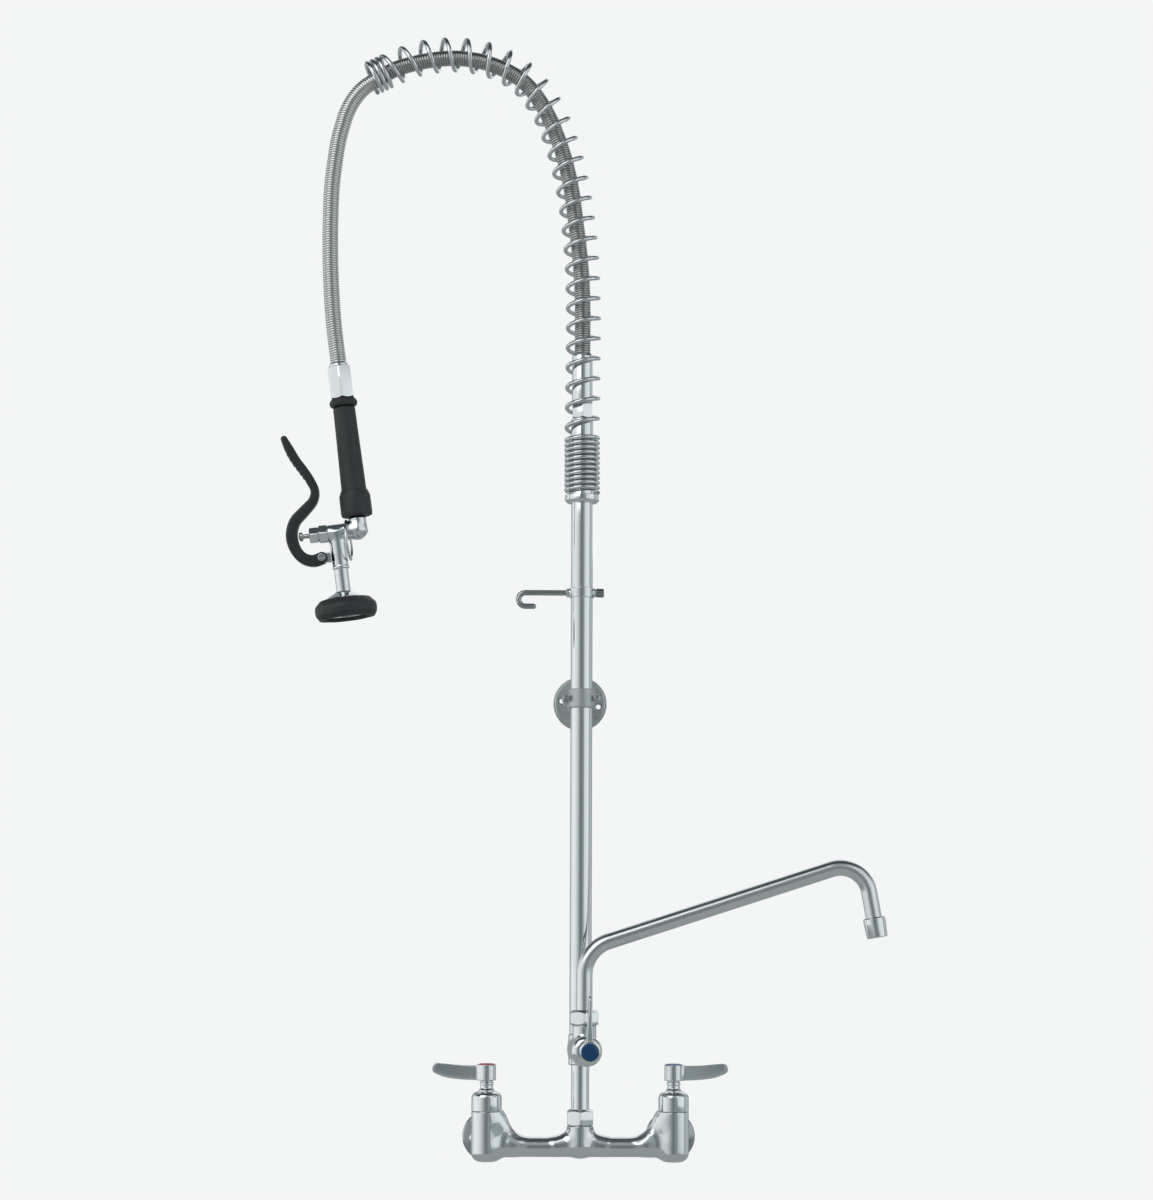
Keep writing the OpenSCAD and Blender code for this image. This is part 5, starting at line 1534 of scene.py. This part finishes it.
@dataclass
class SpringAndHose:
    """The overhead spring, the hose inside and below it, and the fittings at its foot.
    The routes start from the spring's foot, in the plane of the riser: the first number is
    sideways, the second is height.
    """

    spring_radius: float = 17.5
    wire_radius: float = 2.5
    foot_turns: float = 11.0
    open_turns: float = 26.0
    end_turns: float = 3.5
    start: float = 5.3
    foot_pitch: float = 5.6
    end_pitch: float = 5.9
    points_per_turn: int = 36
    hose_radius: float = 9.0
    rib_depth: float = 0.72
    rib_pitch: float = 2.7
    spring_route: Route = (
        (0, 0), (0, 36), (0, 72), (0.5, 125), (1, 175), (0.8, 220), (-0.8, 265), (-5, 310), (-12, 355),
        (-23, 399), (-41, 443), (-67, 477), (-102, 497), (-140, 504), (-178, 501), (-204, 492.5),
        (-224.5, 483), (-242, 474.5),
    )  # fmt: skip
    arch_route: Route = (
        (0, 162), (0, 180), (0, 210), (-0.8, 240), (-3.5, 275), (-8, 312), (-14, 355), (-25, 398),
        (-43, 441), (-68, 474), (-103, 493), (-140, 500), (-176, 497), (-208, 488.5), (-222, 481.4),
        (-234, 474),
    )  # fmt: skip
    drop_route: Route = (
        (-234, 474), (-240.5, 470), (-247.6, 464.6), (-255, 456.5), (-261.5, 446.5), (-267, 434.5),
        (-271, 421), (-275.5, 403), (-279, 379), (-282, 350), (-283, 317), (-283, 283), (-282, 250),
        (-280, 217), (-277.5, 190), (-274.6, 167.4), (-273.4, 158.5), (-272.2, 149.5),
    )  # fmt: skip

    def line(self, route: Route) -> np.ndarray:
        """Returns a route's curve as points in the row's frame."""
        flat = spline(route, 12)
        foot = LAYOUT.spring_foot().translation
        return np.stack([flat[:, 0] + foot.x, np.full(len(flat), foot.y), flat[:, 1] + foot.z], axis=1)

    def spring(self) -> Mesh:
        """Winds the spring along its route with a node tree."""
        path = self.line(self.spring_route)
        foot = self.foot_turns * self.foot_pitch
        end = self.end_turns * self.end_pitch
        total = float(travelled(path)[-1])
        turns = self.foot_turns + self.open_turns + self.end_turns
        tool = GeometryTool(
            "spring_winding",
            {
                "Foot Turns": self.foot_turns,
                "Open End Turn": self.foot_turns + self.open_turns,
                "All Turns": turns,
                "Foot Length": foot,
                "Start Height": self.start,
                "Open Length": total - foot - end - self.start - self.wire_radius,
                "End Length": end,
                "Coil Radius": self.spring_radius,
                "Wire Radius": self.wire_radius,
                "Points": int(turns * self.points_per_turn) + 1,
            },
        )
        tree, size = tool.tree, tool.size
        route = output(tree, "GeometryNodeMeshToCurve", {0: tool.source.outputs["Geometry"]})
        line = output(tree, "GeometryNodeMeshLine", {"Count": size("Points")})
        index = output(tree, "GeometryNodeInputIndex")
        turned_by = maths(tree, "DIVIDE", index, float(self.points_per_turn))
        distance = size("Start Height")
        start: Socket | float = 0.0
        lengths = {"Foot Turns": "Foot Length", "Open End Turn": "Open Length", "All Turns": "End Length"}
        for stop, length in lengths.items():
            inputs = {0: turned_by, 1: start, 2: size(stop), 3: 0.0, 4: size(length)}
            distance = maths(tree, "ADD", distance, output(tree, "ShaderNodeMapRange", inputs))
            start = size(stop)
        place = add(tree, "GeometryNodeSampleCurve", {"Curves": route, "Length": distance}, mode="LENGTH")
        angle = maths(tree, "MULTIPLY", turned_by, 2 * math.pi)
        side = (0.0, 1.0, 0.0)
        across = vectors(tree, "CROSS_PRODUCT", side, place.outputs["Tangent"])
        inward = vectors(tree, "SCALE", across, Scale=maths(tree, "COSINE", angle))
        sideways = vectors(tree, "SCALE", side, Scale=maths(tree, "SINE", angle))
        out = vectors(tree, "SCALE", vectors(tree, "ADD", inward, sideways), Scale=size("Coil Radius"))
        spot = vectors(tree, "ADD", place.outputs["Position"], out)
        wound = output(tree, "GeometryNodeSetPosition", {"Geometry": line, "Position": spot})
        helix = output(tree, "GeometryNodeMeshToCurve", {0: wound})
        circle = {"Resolution": 14, "Radius": size("Wire Radius")}
        section = output(tree, "GeometryNodeCurvePrimitiveCircle", circle)
        wire = output(tree, "GeometryNodeCurveToMesh", {0: helix, 1: section, "Fill Caps": True})
        return tool.bake("overhead_spring_wire", wire, SPRING_WIRE, path, crease=50)

    def hose(self, name: str, path: np.ndarray, sides: int, rings_per_rib: int, finish: Finish) -> Mesh:
        """Makes a ribbed stretch of hose along a path with a node tree.

        Args:
            name: Name of the mesh.
            path: The stretch's middle line.
            sides: Straight pieces round the hose.
            rings_per_rib: Rings in each rib.
            finish: Its finish.

        Returns:
            The stretch's mesh.
        """
        total = float(travelled(path)[-1])
        ribs = round(total / self.rib_pitch)
        tool = GeometryTool(
            f"{name}_ribbing",
            {
                "Hose Radius": self.hose_radius,
                "Rib Depth": self.rib_depth,
                "Rib Pitch": total / ribs,
                "Rings": ribs * rings_per_rib + 1,
                "Sides": sides,
            },
        )
        tree, size = tool.tree, tool.size
        route = output(tree, "GeometryNodeMeshToCurve", {0: tool.source.outputs["Geometry"]})
        rings = output(tree, "GeometryNodeResampleCurve", {"Curve": route, "Count": size("Rings")})
        along = add(tree, "GeometryNodeSplineParameter").outputs["Length"]
        part = maths(tree, "FRACT", maths(tree, "DIVIDE", along, size("Rib Pitch")))
        to_groove = maths(tree, "ABSOLUTE", maths(tree, "MULTIPLY_ADD", part, 2.0, -1.0))
        depth = maths(tree, "MULTIPLY", maths(tree, "POWER", to_groove, 3.0), size("Rib Depth"))
        radius = maths(tree, "SUBTRACT", size("Hose Radius"), depth)
        circle = {"Resolution": size("Sides"), "Radius": 1.0}
        section = output(tree, "GeometryNodeCurvePrimitiveCircle", circle)
        inputs = {0: rings, 1: section, "Scale": radius, "Fill Caps": True}
        return tool.bake(name, output(tree, "GeometryNodeCurveToMesh", inputs), finish, path, crease=60)

    def build_free_hose(self, shop: Workshop) -> None:
        """Makes the free hose, from the spring's end to the spray unit's ferrule.

        Args:
            shop: Reports it.
        """
        path = self.line(self.drop_route)
        mesh = self.hose("free_hose", path, 36, 7, HOSE_STEEL)
        piece = linked("free_hose", mesh)
        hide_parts("hose_drop")
        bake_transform(piece)
        shop.report("free_hose", "fixed and spray", len(mesh.polygons))

    def build(self, shop: Workshop) -> None:
        """Makes the spring, the hose inside it and the fittings at its foot.

        Args:
            shop: Hangs and reports them.
        """
        shop.hang("overhead_spring_wire", self.spring(), SPRING_WIRE, "fixed", ["overhead_spring"])
        # The hose in the spring is darkened with painted shade from its coils
        arch = self.hose("sheathed_hose", self.line(self.arch_route), 28, 6, HOSE_STEEL_PAINTED_SHADE)
        shop.hang("sheathed_hose", arch, HOSE_STEEL_PAINTED_SHADE, "fixed", ["hose_arch"])
        foot = LAYOUT.spring_foot()
        holder = turned(
            [
                (12.05, -6.8, 0.3), (16.2, -6.8, 1.6), (19.0, -4.0, 1.6), (19.0, 2.2, 0.7),
                (13.4, 2.2, 0.3), (13.4, 55, 0.5), (12.05, 55, 0.3),
            ],
            ROUND,
        ).moved(foot)  # fmt: skip
        shop.piece("spring_seat_sleeve", [holder], TUBE_CHROME, "fixed", ["spring_holder"])
        top = LAYOUT.riser(LAYOUT.riser_top)
        barrel = turned(
            [(10.45, -14, 0.3), (12.4, -14, 0.5), (12.4, 18.6, 0.8), (6, 18.6, 0.3), (6, 1, 0), (10.45, 1, 0)]
        )
        nut = hex_nut(22, 17, (6.0, 6.0))
        parts = [barrel.moved(top), nut.moved(top @ shift(0, 0, 19) @ CORNER_FRONT)]
        shop.piece("hose_union", parts, TUBE_CHROME, "fixed", ["hose_coupling"])
        ferrule = turned(
            [
                (6, 0, 0.2), (10.4, 0, 0.6), (11.6, 1.6, 0.8), (11.6, 53, 1.0), (10.2, 56.4, 0.5),
                (6, 56.4, 0.2),
            ]
        ).moved(top @ shift(0, 0, 36.05))  # fmt: skip
        shop.piece("lower_hose_ferrule", [ferrule], TUBE_CHROME, "fixed", ["lower_ferrule"])


# ---- spray unit


@dataclass
class SprayUnit:
    """The spray valve that hangs on the hose: grip, valve, lever, ring and head."""

    ferrule_flats: float = 25.0
    leg_radius: float = 10.0
    leg_top: float = 133.3
    barrel_radius: float = 9.5
    barrel_end: float = -34.0
    head_radius: float = 9.0
    down_tube_radius: float = 8.0
    head_drop: float = 75.0
    bumper_radius: float = 34.5
    bumper_height: float = 21.5
    dome_radius: float = 24.3
    pivot: tuple[float, float] = (-44.0, -174.5)
    pivot_radius: float = 2.6
    lug_thickness: float = 7.0
    lever_width: float = 16.0
    ring_radius: float = 21.5
    ring_wire: float = 1.5
    ring_x: float = -12.5
    ring_turn: float = -4.0
    # Middle line of the lever from its tip to its pivot, as offsets from the pivot, each
    # with the lever's thickness there
    lever_line: tuple[Point, ...] = (
        (-26, 137, 7.5), (-21.2, 123.4, 10.5), (-15.9, 111.4, 10.5), (-9, 99.3, 10.5), (-2.6, 87.1, 10),
        (1, 75.4, 9.5), (-2.5, 64.5, 10), (-13.1, 54.6, 11.5), (-24.3, 44.7, 12), (-29.3, 34, 12.6),
        (-30.2, 22.9, 13), (-27, 11.2, 12.5), (-20, 2, 12), (-10, -2, 12.5), (0, 0, 13),
    )  # fmt: skip

    def grip(self) -> list[Solid]:
        """Makes the grip: a round collar, a tapering handle and a flared sleeve below."""
        collar = turned(
            [(8.1, 0, 0.3), (13.6, 0, 2.4), (16.0, -4.4, 3.2), (14.2, -8.8, 2.2), (8.1, -8.8, 0.3)], 96, 7
        )
        handle = turned(
            [
                (7.1, -8.9, 0.2), (11.2, -8.9, 0.8), (12.3, -11.0, 1.6), (12.7, -40, 20),
                (13.9, -101.5, 1.0), (14.2, -102.4, 0.5), (14.2, -103.4, 0.5), (15.2, -104.4, 1.2),
                (17.3, -110, 8), (17.5, -128, 4), (17.0, -132.2, 1.0), (15.0, -133.0, 0.6),
                (7.1, -133.0, 0.2),
            ],
            ROUND,
            6,
        )  # fmt: skip
        return [collar.moved(LAYOUT.spray()), handle.moved(LAYOUT.spray())]

    def valve(self) -> Solid:
        """Makes the valve casting: leg, cross barrel, head, down tube and pivot lug."""
        drop, off, end = LAYOUT.valve_drop, LAYOUT.head_offset, self.barrel_end
        leg = post(-self.leg_top, -drop - 4, self.leg_radius, 3.0)
        heel = ball((0, 0, -drop), self.leg_radius)
        barrel = rod((0, 0, -drop), (end, 0, -drop), self.barrel_radius, 0.8)
        head = rod((-off, 0, -drop), (-off, 0, -drop - 39), self.head_radius, 0.6)
        ring = rod((-off, 0, -drop - 38), (-off, 0, -drop - 41), self.head_radius + 0.4, 0.9)
        tube = rod((-off, 0, -drop - 30), (-off, 0, -drop - self.head_drop + 5), self.down_tube_radius, 0.5)
        px, pz = self.pivot
        half = self.lug_thickness / 2
        lug = joined(
            1.0,
            rod((px, -half, pz), (px, half, pz), 5.5, 0.7),
            block(((px - off) / 2, 0, pz), (-px - off, self.lug_thickness, 11), 0.7),
        )
        body = joined(5.0, joined(2.0, leg, heel), barrel, head)
        whole = joined(0.8, joined(1.8, body, lug), ring, tube)
        hole = rod((px, -9, pz), (px, 9, pz), self.pivot_radius + CLEARANCE, SHARP)
        low, high = (px - 7, -12, -drop - self.head_drop), (12, 12, -self.leg_top + 1)
        return skin(cut(whole, 0.4, hole), low, high, cell=0.7).moved(LAYOUT.spray())

    def cap(self) -> list[Solid]:
        """Makes the valve cap and its packing nut."""
        place = LAYOUT.cross_axis(self.barrel_end)
        cap = hex_nut(18.5, 10.4, (5.1, 5.1)).moved(place @ shift(0, 0, 0.1) @ CORNER_FRONT)
        packing = hex_nut(16, 10.4, (2.6, 2.6)).moved(place @ shift(0, 0, 10.55) @ CORNER_FRONT)
        return [cap, packing]

    def plunger(self) -> Solid:
        """Makes the plunger with its domed button."""
        outline: list[Corner] = [
            (0, 17.5, 0), (2.5, 17.5, 0.3), (2.5, 62.0, 0), (4.4, 62.2, 0.3), (5.0, 62.8, 0.4),
            (5.0, 65.2, 1.0), (3.2, 66.5, 1.6), (0, 66.8, 0),
        ]  # fmt: skip
        return turned(outline, 48, 5).moved(LAYOUT.cross_axis(0))

    def lever(self) -> Solid:
        """Makes the squeeze lever: a bent bar with rounded edges, serrations and a fork."""
        line = spline(self.lever_line, 5)
        px, pz = self.pivot
        middle, half = line[:, :2] + np.array([px, pz]), line[:, 2] / 2
        side_view = chain(middle, half)
        edge, width = 2.6, self.lever_width / 2

        def bar(p: np.ndarray) -> np.ndarray:
            """Signed distance to the bar."""
            return rounded(side_view(p), np.abs(p[:, 1]) - width, edge)

        along = travelled(middle)

        def at(s: float) -> np.ndarray:
            """Point on the middle line at a distance from its start."""
            return np.array([np.interp(s, along, middle[:, 0]), np.interp(s, along, middle[:, 1])])

        tools: list[Field] = [block((px + 7, 0, pz - 3), (30, self.lug_thickness + 0.7, 24), 0.4)]
        for s in 14.0 + 6.2 * np.arange(7):
            ahead = at(s + 1) - at(s)
            ahead /= np.linalg.norm(ahead)
            x, z = at(s) + np.array([ahead[1], -ahead[0]]) * (np.interp(s, along, half) + 0.9)
            tools.append(rod((x, -12, z), (x, 12, z), 1.7, SHARP))
        low, high = middle.min(axis=0) - 8, middle.max(axis=0) + 8
        solid = skin(cut(bar, 0.9, *tools), (low[0], -9, low[1]), (high[0], 9, high[1]), cell=0.75)
        return solid.moved(LAYOUT.spray())

    def pivot_screw(self) -> Solid:
        """Makes the shouldered screw that the lever swings on, with its driving slot."""
        half = self.lever_width / 2 + 0.3
        r = self.pivot_radius
        shank = post(-half - 1, half + 1, r, 0.2)
        head = post(half, half + 2.4, 4.4, 0.7)
        foot = post(-half - 2.2, -half, 4.0, 0.5)
        slot = block((0, 0, half + 3.0), (12, 1.1, 3.0), SHARP)
        whole = cut(joined(0.3, shank, head, foot), 0.25, slot)
        solid = skin(whole, (-5, -5, -half - 3), (5, 5, half + 3), cell=0.36)
        return solid.moved(LAYOUT.spray() @ shift(self.pivot[0], 0, self.pivot[1]) @ turn("X", 90))

    def ring(self) -> Solid:
        """Makes the hold-down ring that hangs over the barrel."""
        drop = LAYOUT.valve_drop - self.barrel_radius - 0.3 + self.ring_radius - self.ring_wire
        wire = [
            (self.ring_radius + self.ring_wire * math.cos(a), self.ring_wire * math.sin(a), 0.0)
            for a in np.arange(20) * 2 * math.pi / 20
        ]
        place = LAYOUT.spray() @ shift(self.ring_x, 0, -drop) @ turn("Z", self.ring_turn) @ turn("Y", 90)
        return turned(wire, 120).moved(place)

    def dome(self) -> Solid:
        """Makes the spray head's dome, a thin shell whose skirt the bumper grips."""
        r, top = self.dome_radius, -self.head_drop + 8
        rim = -self.head_drop - self.bumper_height + 4
        outline: list[Corner] = [
            (8.06, top - 3.6, 0), (8.06, top + 0.4, 0.3), (9.8, top + 0.4, 0.7), (10.6, top - 1.0, 1.2),
            (14.5, top - 2.6, 6.0), (r - 2.4, -self.head_drop + 1.2, 4.0), (r, -self.head_drop - 1.0, 1.2),
            (r, rim, 0.4), (r - 1.5, rim, 0.4), (r - 1.5, -self.head_drop - 2.0, 0.6),
            (13.5, top - 5.4, 3.0),
        ]  # fmt: skip
        return turned(outline, 120, 6).moved(LAYOUT.head())

    def bumper(self) -> Solid:
        """Makes the rubber bumper, with shallow scallops round its lower edge."""
        outer, high = self.bumper_radius, -self.head_drop
        inner, low = self.dome_radius + CLEARANCE, -self.head_drop - self.bumper_height

        def corners_at(angle: float) -> list[Corner]:
            """Gives the bumper's outline at an angle."""
            scallop = max(0.0, math.cos(8 * angle)) ** 0.6
            return [
                (inner, high - 0.6, 0.3), (inner + 1.4, high, 0.6), (inner + 3.4, high, 1.6),
                (outer - 0.6, high - 6.4, 3.2), (outer, high - 11.0, 5.0), (outer - 0.6, low + 5.0, 1.6),
                (outer - 1.5 - 1.2 * scallop, low + 3.2, 0.8),
                (outer - 3.4 - 1.4 * scallop, low + 0.2, 1.0), (outer - 6.0, low, 0.8),
                (inner + 1.2, low, 0.5), (inner, low + 1.0, 0.3),
            ]  # fmt: skip

        return turned_by_angle(corners_at, 192, 4).moved(LAYOUT.head())

    def build(self, shop: Workshop) -> None:
        """Makes the spray unit's pieces.

        Args:
            shop: Hangs and reports them.
        """
        spray = LAYOUT.spray()
        neck = turned(
            [
                (5.0, -7, 0.2), (8.0, -7, 0.3), (8.0, 0.1, 0), (9.2, 0.1, 0), (9.2, 35.0, 0),
                (10.6, 36.4, 0.4), (10.6, 39.4, 0.5), (9.4, 41.0, 0.4), (5.0, 41.0, 0.2),
            ]
        )  # fmt: skip
        ferrule = hex_nut(self.ferrule_flats, 37.0, (9.25, 9.25))
        ferrule = ferrule.moved(spray @ shift(0, 0, 0.15) @ CORNER_FRONT)
        shop.piece("hose_end_ferrule", [ferrule, neck.moved(spray)], TUBE_CHROME, "spray", ["end_ferrule"])
        shop.piece("grip_and_collar", self.grip(), BLACK_RUBBER, "spray", ["handle_tube", "handle_grip"])
        shop.piece("valve_casting", [self.valve()], CAST_CHROME, "spray", ["valve_body"])
        shop.piece("valve_cap_nuts", self.cap(), TUBE_CHROME, "spray", ["valve_cap"])
        shop.piece("plunger_rod", [self.plunger()], TURNED_STEEL, "plunger", ["plunger"])
        shop.piece("lever_grip", [self.lever()], LEVER_VINYL, "lever", ["squeeze_lever"])
        shop.piece("lever_pivot_screw", [self.pivot_screw()], TURNED_STEEL, "spray", ["lever_pivot"])
        shop.piece("hold_ring", [self.ring()], TUBE_CHROME, "ring", ["hold_down_ring"])
        shop.piece("head_dome", [self.dome()], TUBE_CHROME, "spray", ["spray_dome"])
        shop.piece("head_bumper", [self.bumper()], BLACK_RUBBER, "spray", ["bumper"])
        face_place = LAYOUT.head() @ shift(0, 0, -self.head_drop - self.bumper_height + 5.8)
        plate = Perforations(self.dome_radius - 1.55, 1.6, hole_radius=0.8, rings=((8.4, 8), (16.6, 16)))
        face = plate.mesh("head_spray_plate", TURNED_STEEL, face_place)
        shop.hang("head_spray_plate", face, TURNED_STEEL, "spray", ["spray_face"])
        shop.dress(BLACK_RUBBER, "seat_washer")
        shop.dress(TURNED_STEEL, "return_spring")


# ---- studio


class Tint(Enum):
    """Colours of the studio's surfaces."""

    BACKGROUND = "#f4f5f5"
    FLOOR = "#a9adad"
    FLOOR_SEEN = "#eceeee"


@dataclass
class Studio:
    """Camera, lamps, floor, and the room of greys that chrome needs to look like chrome."""

    camera_place: Point = (-69.0, -3376.0, 216.1)
    heading: float = 1.0966
    pitch: float = 6.466
    roll: float = 0.2
    lens: float = 90.0
    floor_height: float = -900.0
    floor_radius: float = 4.9
    floor_fade: tuple[float, float] = (3.2, 4.8)
    world_light: float = 0.75
    room_radius: float = 10.0
    # Tone of the room's wall by heading: 0 is behind the camera, positive to the right
    wall_tones: Tones = (
        (-180, "#8c9395"), (-140, "#a4abad"), (-112, "#eef0f0"), (-85, "#f6f7f7"), (-57, "#e6e8e8"),
        (-35, "#c2c6c7"), (-15, "#858d8f"), (-4, "#6f7779"), (5, "#737b7d"), (15, "#949c9e"),
        (25, "#7e8688"), (38, "#858d8f"), (60, "#a2a9ab"), (100, "#aab1b3"), (125, "#c2c7c8"),
        (140, "#8c9395"), (180, "#8c9395"),
    )  # fmt: skip
    wall_glow: float = 1.15
    # Tone of its ceiling from the camera's side (-1) to the wall behind the object (1)
    ceiling_tones: Tones = (
        (-0.85, "#a9afb1"), (-0.62, "#8a9193"), (-0.4, "#4b5153"), (0.1, "#3a4042"), (0.35, "#5a6163"),
        (0.6, "#868d8f"), (0.9, "#8c9395"),
    )  # fmt: skip
    # Heights between which the wall goes over into the ceiling, as parts of the room's radius
    ceiling_edge: tuple[float, float] = (0.3, 0.62)

    def camera(self) -> None:
        """Makes the camera at the view's own angle."""
        data = bpy.data.cameras.new("view_camera")
        data.sensor_width = 36.0
        data.lens = self.lens
        data.clip_end = 100.0
        camera = linked("view_camera", data)
        yaw, pitch, roll = (math.radians(v) for v in (self.heading, self.pitch, self.roll))
        ahead = Vector((math.sin(yaw) * math.cos(pitch), math.cos(yaw) * math.cos(pitch), math.sin(pitch)))
        right = Vector((math.cos(yaw), -math.sin(yaw), 0.0))
        up = right.cross(ahead)
        own_right = right * math.cos(roll) + up * math.sin(roll)
        own_up = up * math.cos(roll) - right * math.sin(roll)
        axes = Matrix((own_right, own_up, -ahead)).transposed().to_4x4()
        camera.matrix_world = Matrix.Translation(Vector(self.camera_place) * MM) @ axes
        bpy.context.scene.camera = camera

    def lamp(self, name: str, place: Point, target: Point, size: float, watts: float) -> None:
        """Hangs a soft square lamp.

        Args:
            name: Name of the lamp.
            place: Its place in metres.
            target: The point it faces.
            size: Length of its side in metres.
            watts: Its power.
        """
        data = bpy.data.lights.new(name, "AREA")
        data.size = size
        data.energy = watts
        lamp = linked(name, data)
        lamp.location = place
        lamp.rotation_euler = (Vector(target) - Vector(place)).to_track_quat("-Z", "Y").to_euler()

    def world(self) -> None:
        """Makes a plain pale surround, dimmer where it only lights the object."""
        world = bpy.data.worlds.new("pale_surround")
        bpy.context.scene.world = world
        tree = blank_tree(world)
        rays = add(tree, "ShaderNodeLightPath").outputs
        seen = maths(tree, "MAXIMUM", rays["Is Camera Ray"], rays["Is Glossy Ray"])
        seen = maths(tree, "MAXIMUM", seen, rays["Is Transmission Ray"])
        strength = output(tree, "ShaderNodeMapRange", {0: seen, 3: self.world_light, 4: 1.0})
        inputs = {"Color": linear(Tint.BACKGROUND.value), "Strength": strength}
        add(tree, "ShaderNodeOutputWorld", {"Surface": output(tree, "ShaderNodeBackground", inputs)})

    def floor(self) -> None:
        """Makes a round pale floor that fades out at its rim."""
        material = bpy.data.materials.new("matt_floor_paint")
        tree = blank_tree(material)
        where = add(tree, "ShaderNodeTexCoord").outputs["Object"]
        seen = add(tree, "ShaderNodeLightPath").outputs["Is Camera Ray"]
        tint = mixed(tree, seen, linear(Tint.FLOOR.value), linear(Tint.FLOOR_SEEN.value))
        paint = output(tree, "ShaderNodeBsdfPrincipled", {"Base Color": tint, "Roughness": 0.7})
        clear = output(tree, "ShaderNodeBsdfTransparent")
        far = add(tree, "ShaderNodeVectorMath", {0: where}, operation="LENGTH").outputs["Value"]
        span = {0: far, 1: self.floor_fade[0], 2: self.floor_fade[1]}
        fade = output(tree, "ShaderNodeMapRange", span, interpolation_type="SMOOTHSTEP")
        both = output(tree, "ShaderNodeMixShader", {0: fade, 1: paint, 2: clear})
        add(tree, "ShaderNodeOutputMaterial", {"Surface": both})
        r = self.floor_radius
        ring = [(r * math.cos(a), r * math.sin(a), 0.0) for a in np.arange(ROUND) * 2 * math.pi / ROUND]
        mesh = bpy.data.meshes.new("studio_floor")
        mesh.from_pydata(ring, [], [list(range(ROUND))])
        mesh.materials.append(material)
        floor = linked("studio_floor", mesh)
        floor.location = (0.0, 0.0, self.floor_height * MM)

    def tones(self, tree: Tree, value: Socket, stops: Tones, limit: float) -> Socket:
        """Turns a value to a tone.

        Args:
            tree: The node tree.
            value: The value's socket.
            stops: Values with their colours, in order.
            limit: Greatest value, and with a minus sign the least.

        Returns:
            The colour's socket.
        """
        part = output(tree, "ShaderNodeMapRange", {"Value": value, 1: -limit, 2: limit})
        ramp = add(tree, "ShaderNodeValToRGB", {0: part})
        marks = ramp.color_ramp.elements
        marks.remove(marks[1])
        for k, (place, code) in enumerate(stops):
            position = (place + limit) / (2 * limit)
            mark = marks.new(position) if k else marks[0]
            mark.position = position
            mark.color = linear(code)
        return ramp.outputs[0]

    def room(self) -> None:
        """Makes a round room far from the object, which only reflections see."""
        material = bpy.data.materials.new("room_paint")
        tree = blank_tree(material)
        where = add(tree, "ShaderNodeTexCoord").outputs["Object"]
        spot = add(tree, "ShaderNodeSeparateXYZ", {0: where}).outputs
        heading = maths(tree, "ARCTAN2", spot[0], maths(tree, "MULTIPLY", spot[1], -1.0))
        wall = self.tones(tree, maths(tree, "DEGREES", heading), self.wall_tones, 180.0)
        depth = maths(tree, "DIVIDE", spot[1], self.room_radius)
        ceiling = self.tones(tree, depth, self.ceiling_tones, 1.0)
        height = maths(tree, "DIVIDE", spot[2], self.room_radius)
        span = {"Value": height, 1: self.ceiling_edge[0], 2: self.ceiling_edge[1]}
        above = output(tree, "ShaderNodeMapRange", span, interpolation_type="SMOOTHSTEP")
        glow = {"Color": mixed(tree, above, wall, ceiling), "Strength": self.wall_glow}
        add(tree, "ShaderNodeOutputMaterial", {"Surface": output(tree, "ShaderNodeEmission", glow)})
        r = self.room_radius
        arc = [(r * math.cos(a), r * math.sin(a), 0.0) for a in np.linspace(-math.pi / 2, math.pi / 2, 41)]
        solid = turned([(0, -r, 0), *arc[1:-1], (0, r, 0)], ROUND)
        mesh = bpy.data.meshes.new("grey_room")
        mesh.from_pydata(solid.points.tolist(), [], solid.faces)
        mesh.materials.append(material)
        room = linked("grey_room", mesh)
        room.visible_camera = False
        room.visible_diffuse = False
        room.visible_shadow = False

    def build(self) -> None:
        """Makes the lamps, the surround, the floor and the room."""
        bpy.context.scene.view_settings.view_transform = "Standard"
        self.world()
        self.floor()
        self.room()
        middle = (-0.1, -0.08, 0.6)
        self.lamp("key_lamp", (-2.0, -2.7, 2.75), middle, 3.2, 38)
        self.lamp("fill_lamp", (2.8, -2.0, 1.6), middle, 4.0, 26)
        self.lamp("back_lamp", (0.6, 2.8, 2.4), middle, 3.0, 18)


# ---- main


def main() -> None:
    """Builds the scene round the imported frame, in the order camera, cord, pieces, studio."""
    logging.basicConfig(level=logging.INFO, format="%(message)s")
    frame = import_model()
    shop = Workshop(frame["nodes"])
    studio = Studio()
    studio.camera()
    hose = SpringAndHose()
    hose.build_free_hose(shop)
    MixingBase().build(shop)
    bonnets = [
        ValveStack("hot", LAYOUT.column(-1), "hot_valve", HOT_RED).build(shop),
        ValveStack("cold", LAYOUT.column(1), "cold_valve", COLD_BLUE).build(shop),
    ]
    shop.piece("base_bonnets", bonnets, TUBE_CHROME, "fixed", ["valve_bonnets"])
    add_on_bonnet = ValveStack("add_on", LAYOUT.add_on_valve(), "add_on_valve", ADD_ON_BLUE).build(shop)
    shop.piece("add_on_dome_bonnet", [add_on_bonnet], TUBE_CHROME, "fixed", ["add_on_bonnet"])
    AddOnFaucet().build(shop)
    RiserAndSupports().build(shop)
    hose.build(shop)
    SprayUnit().build(shop)
    studio.build()
    LOG.info("%d pieces", len(shop.made))


if __name__ == "__main__":
    main()
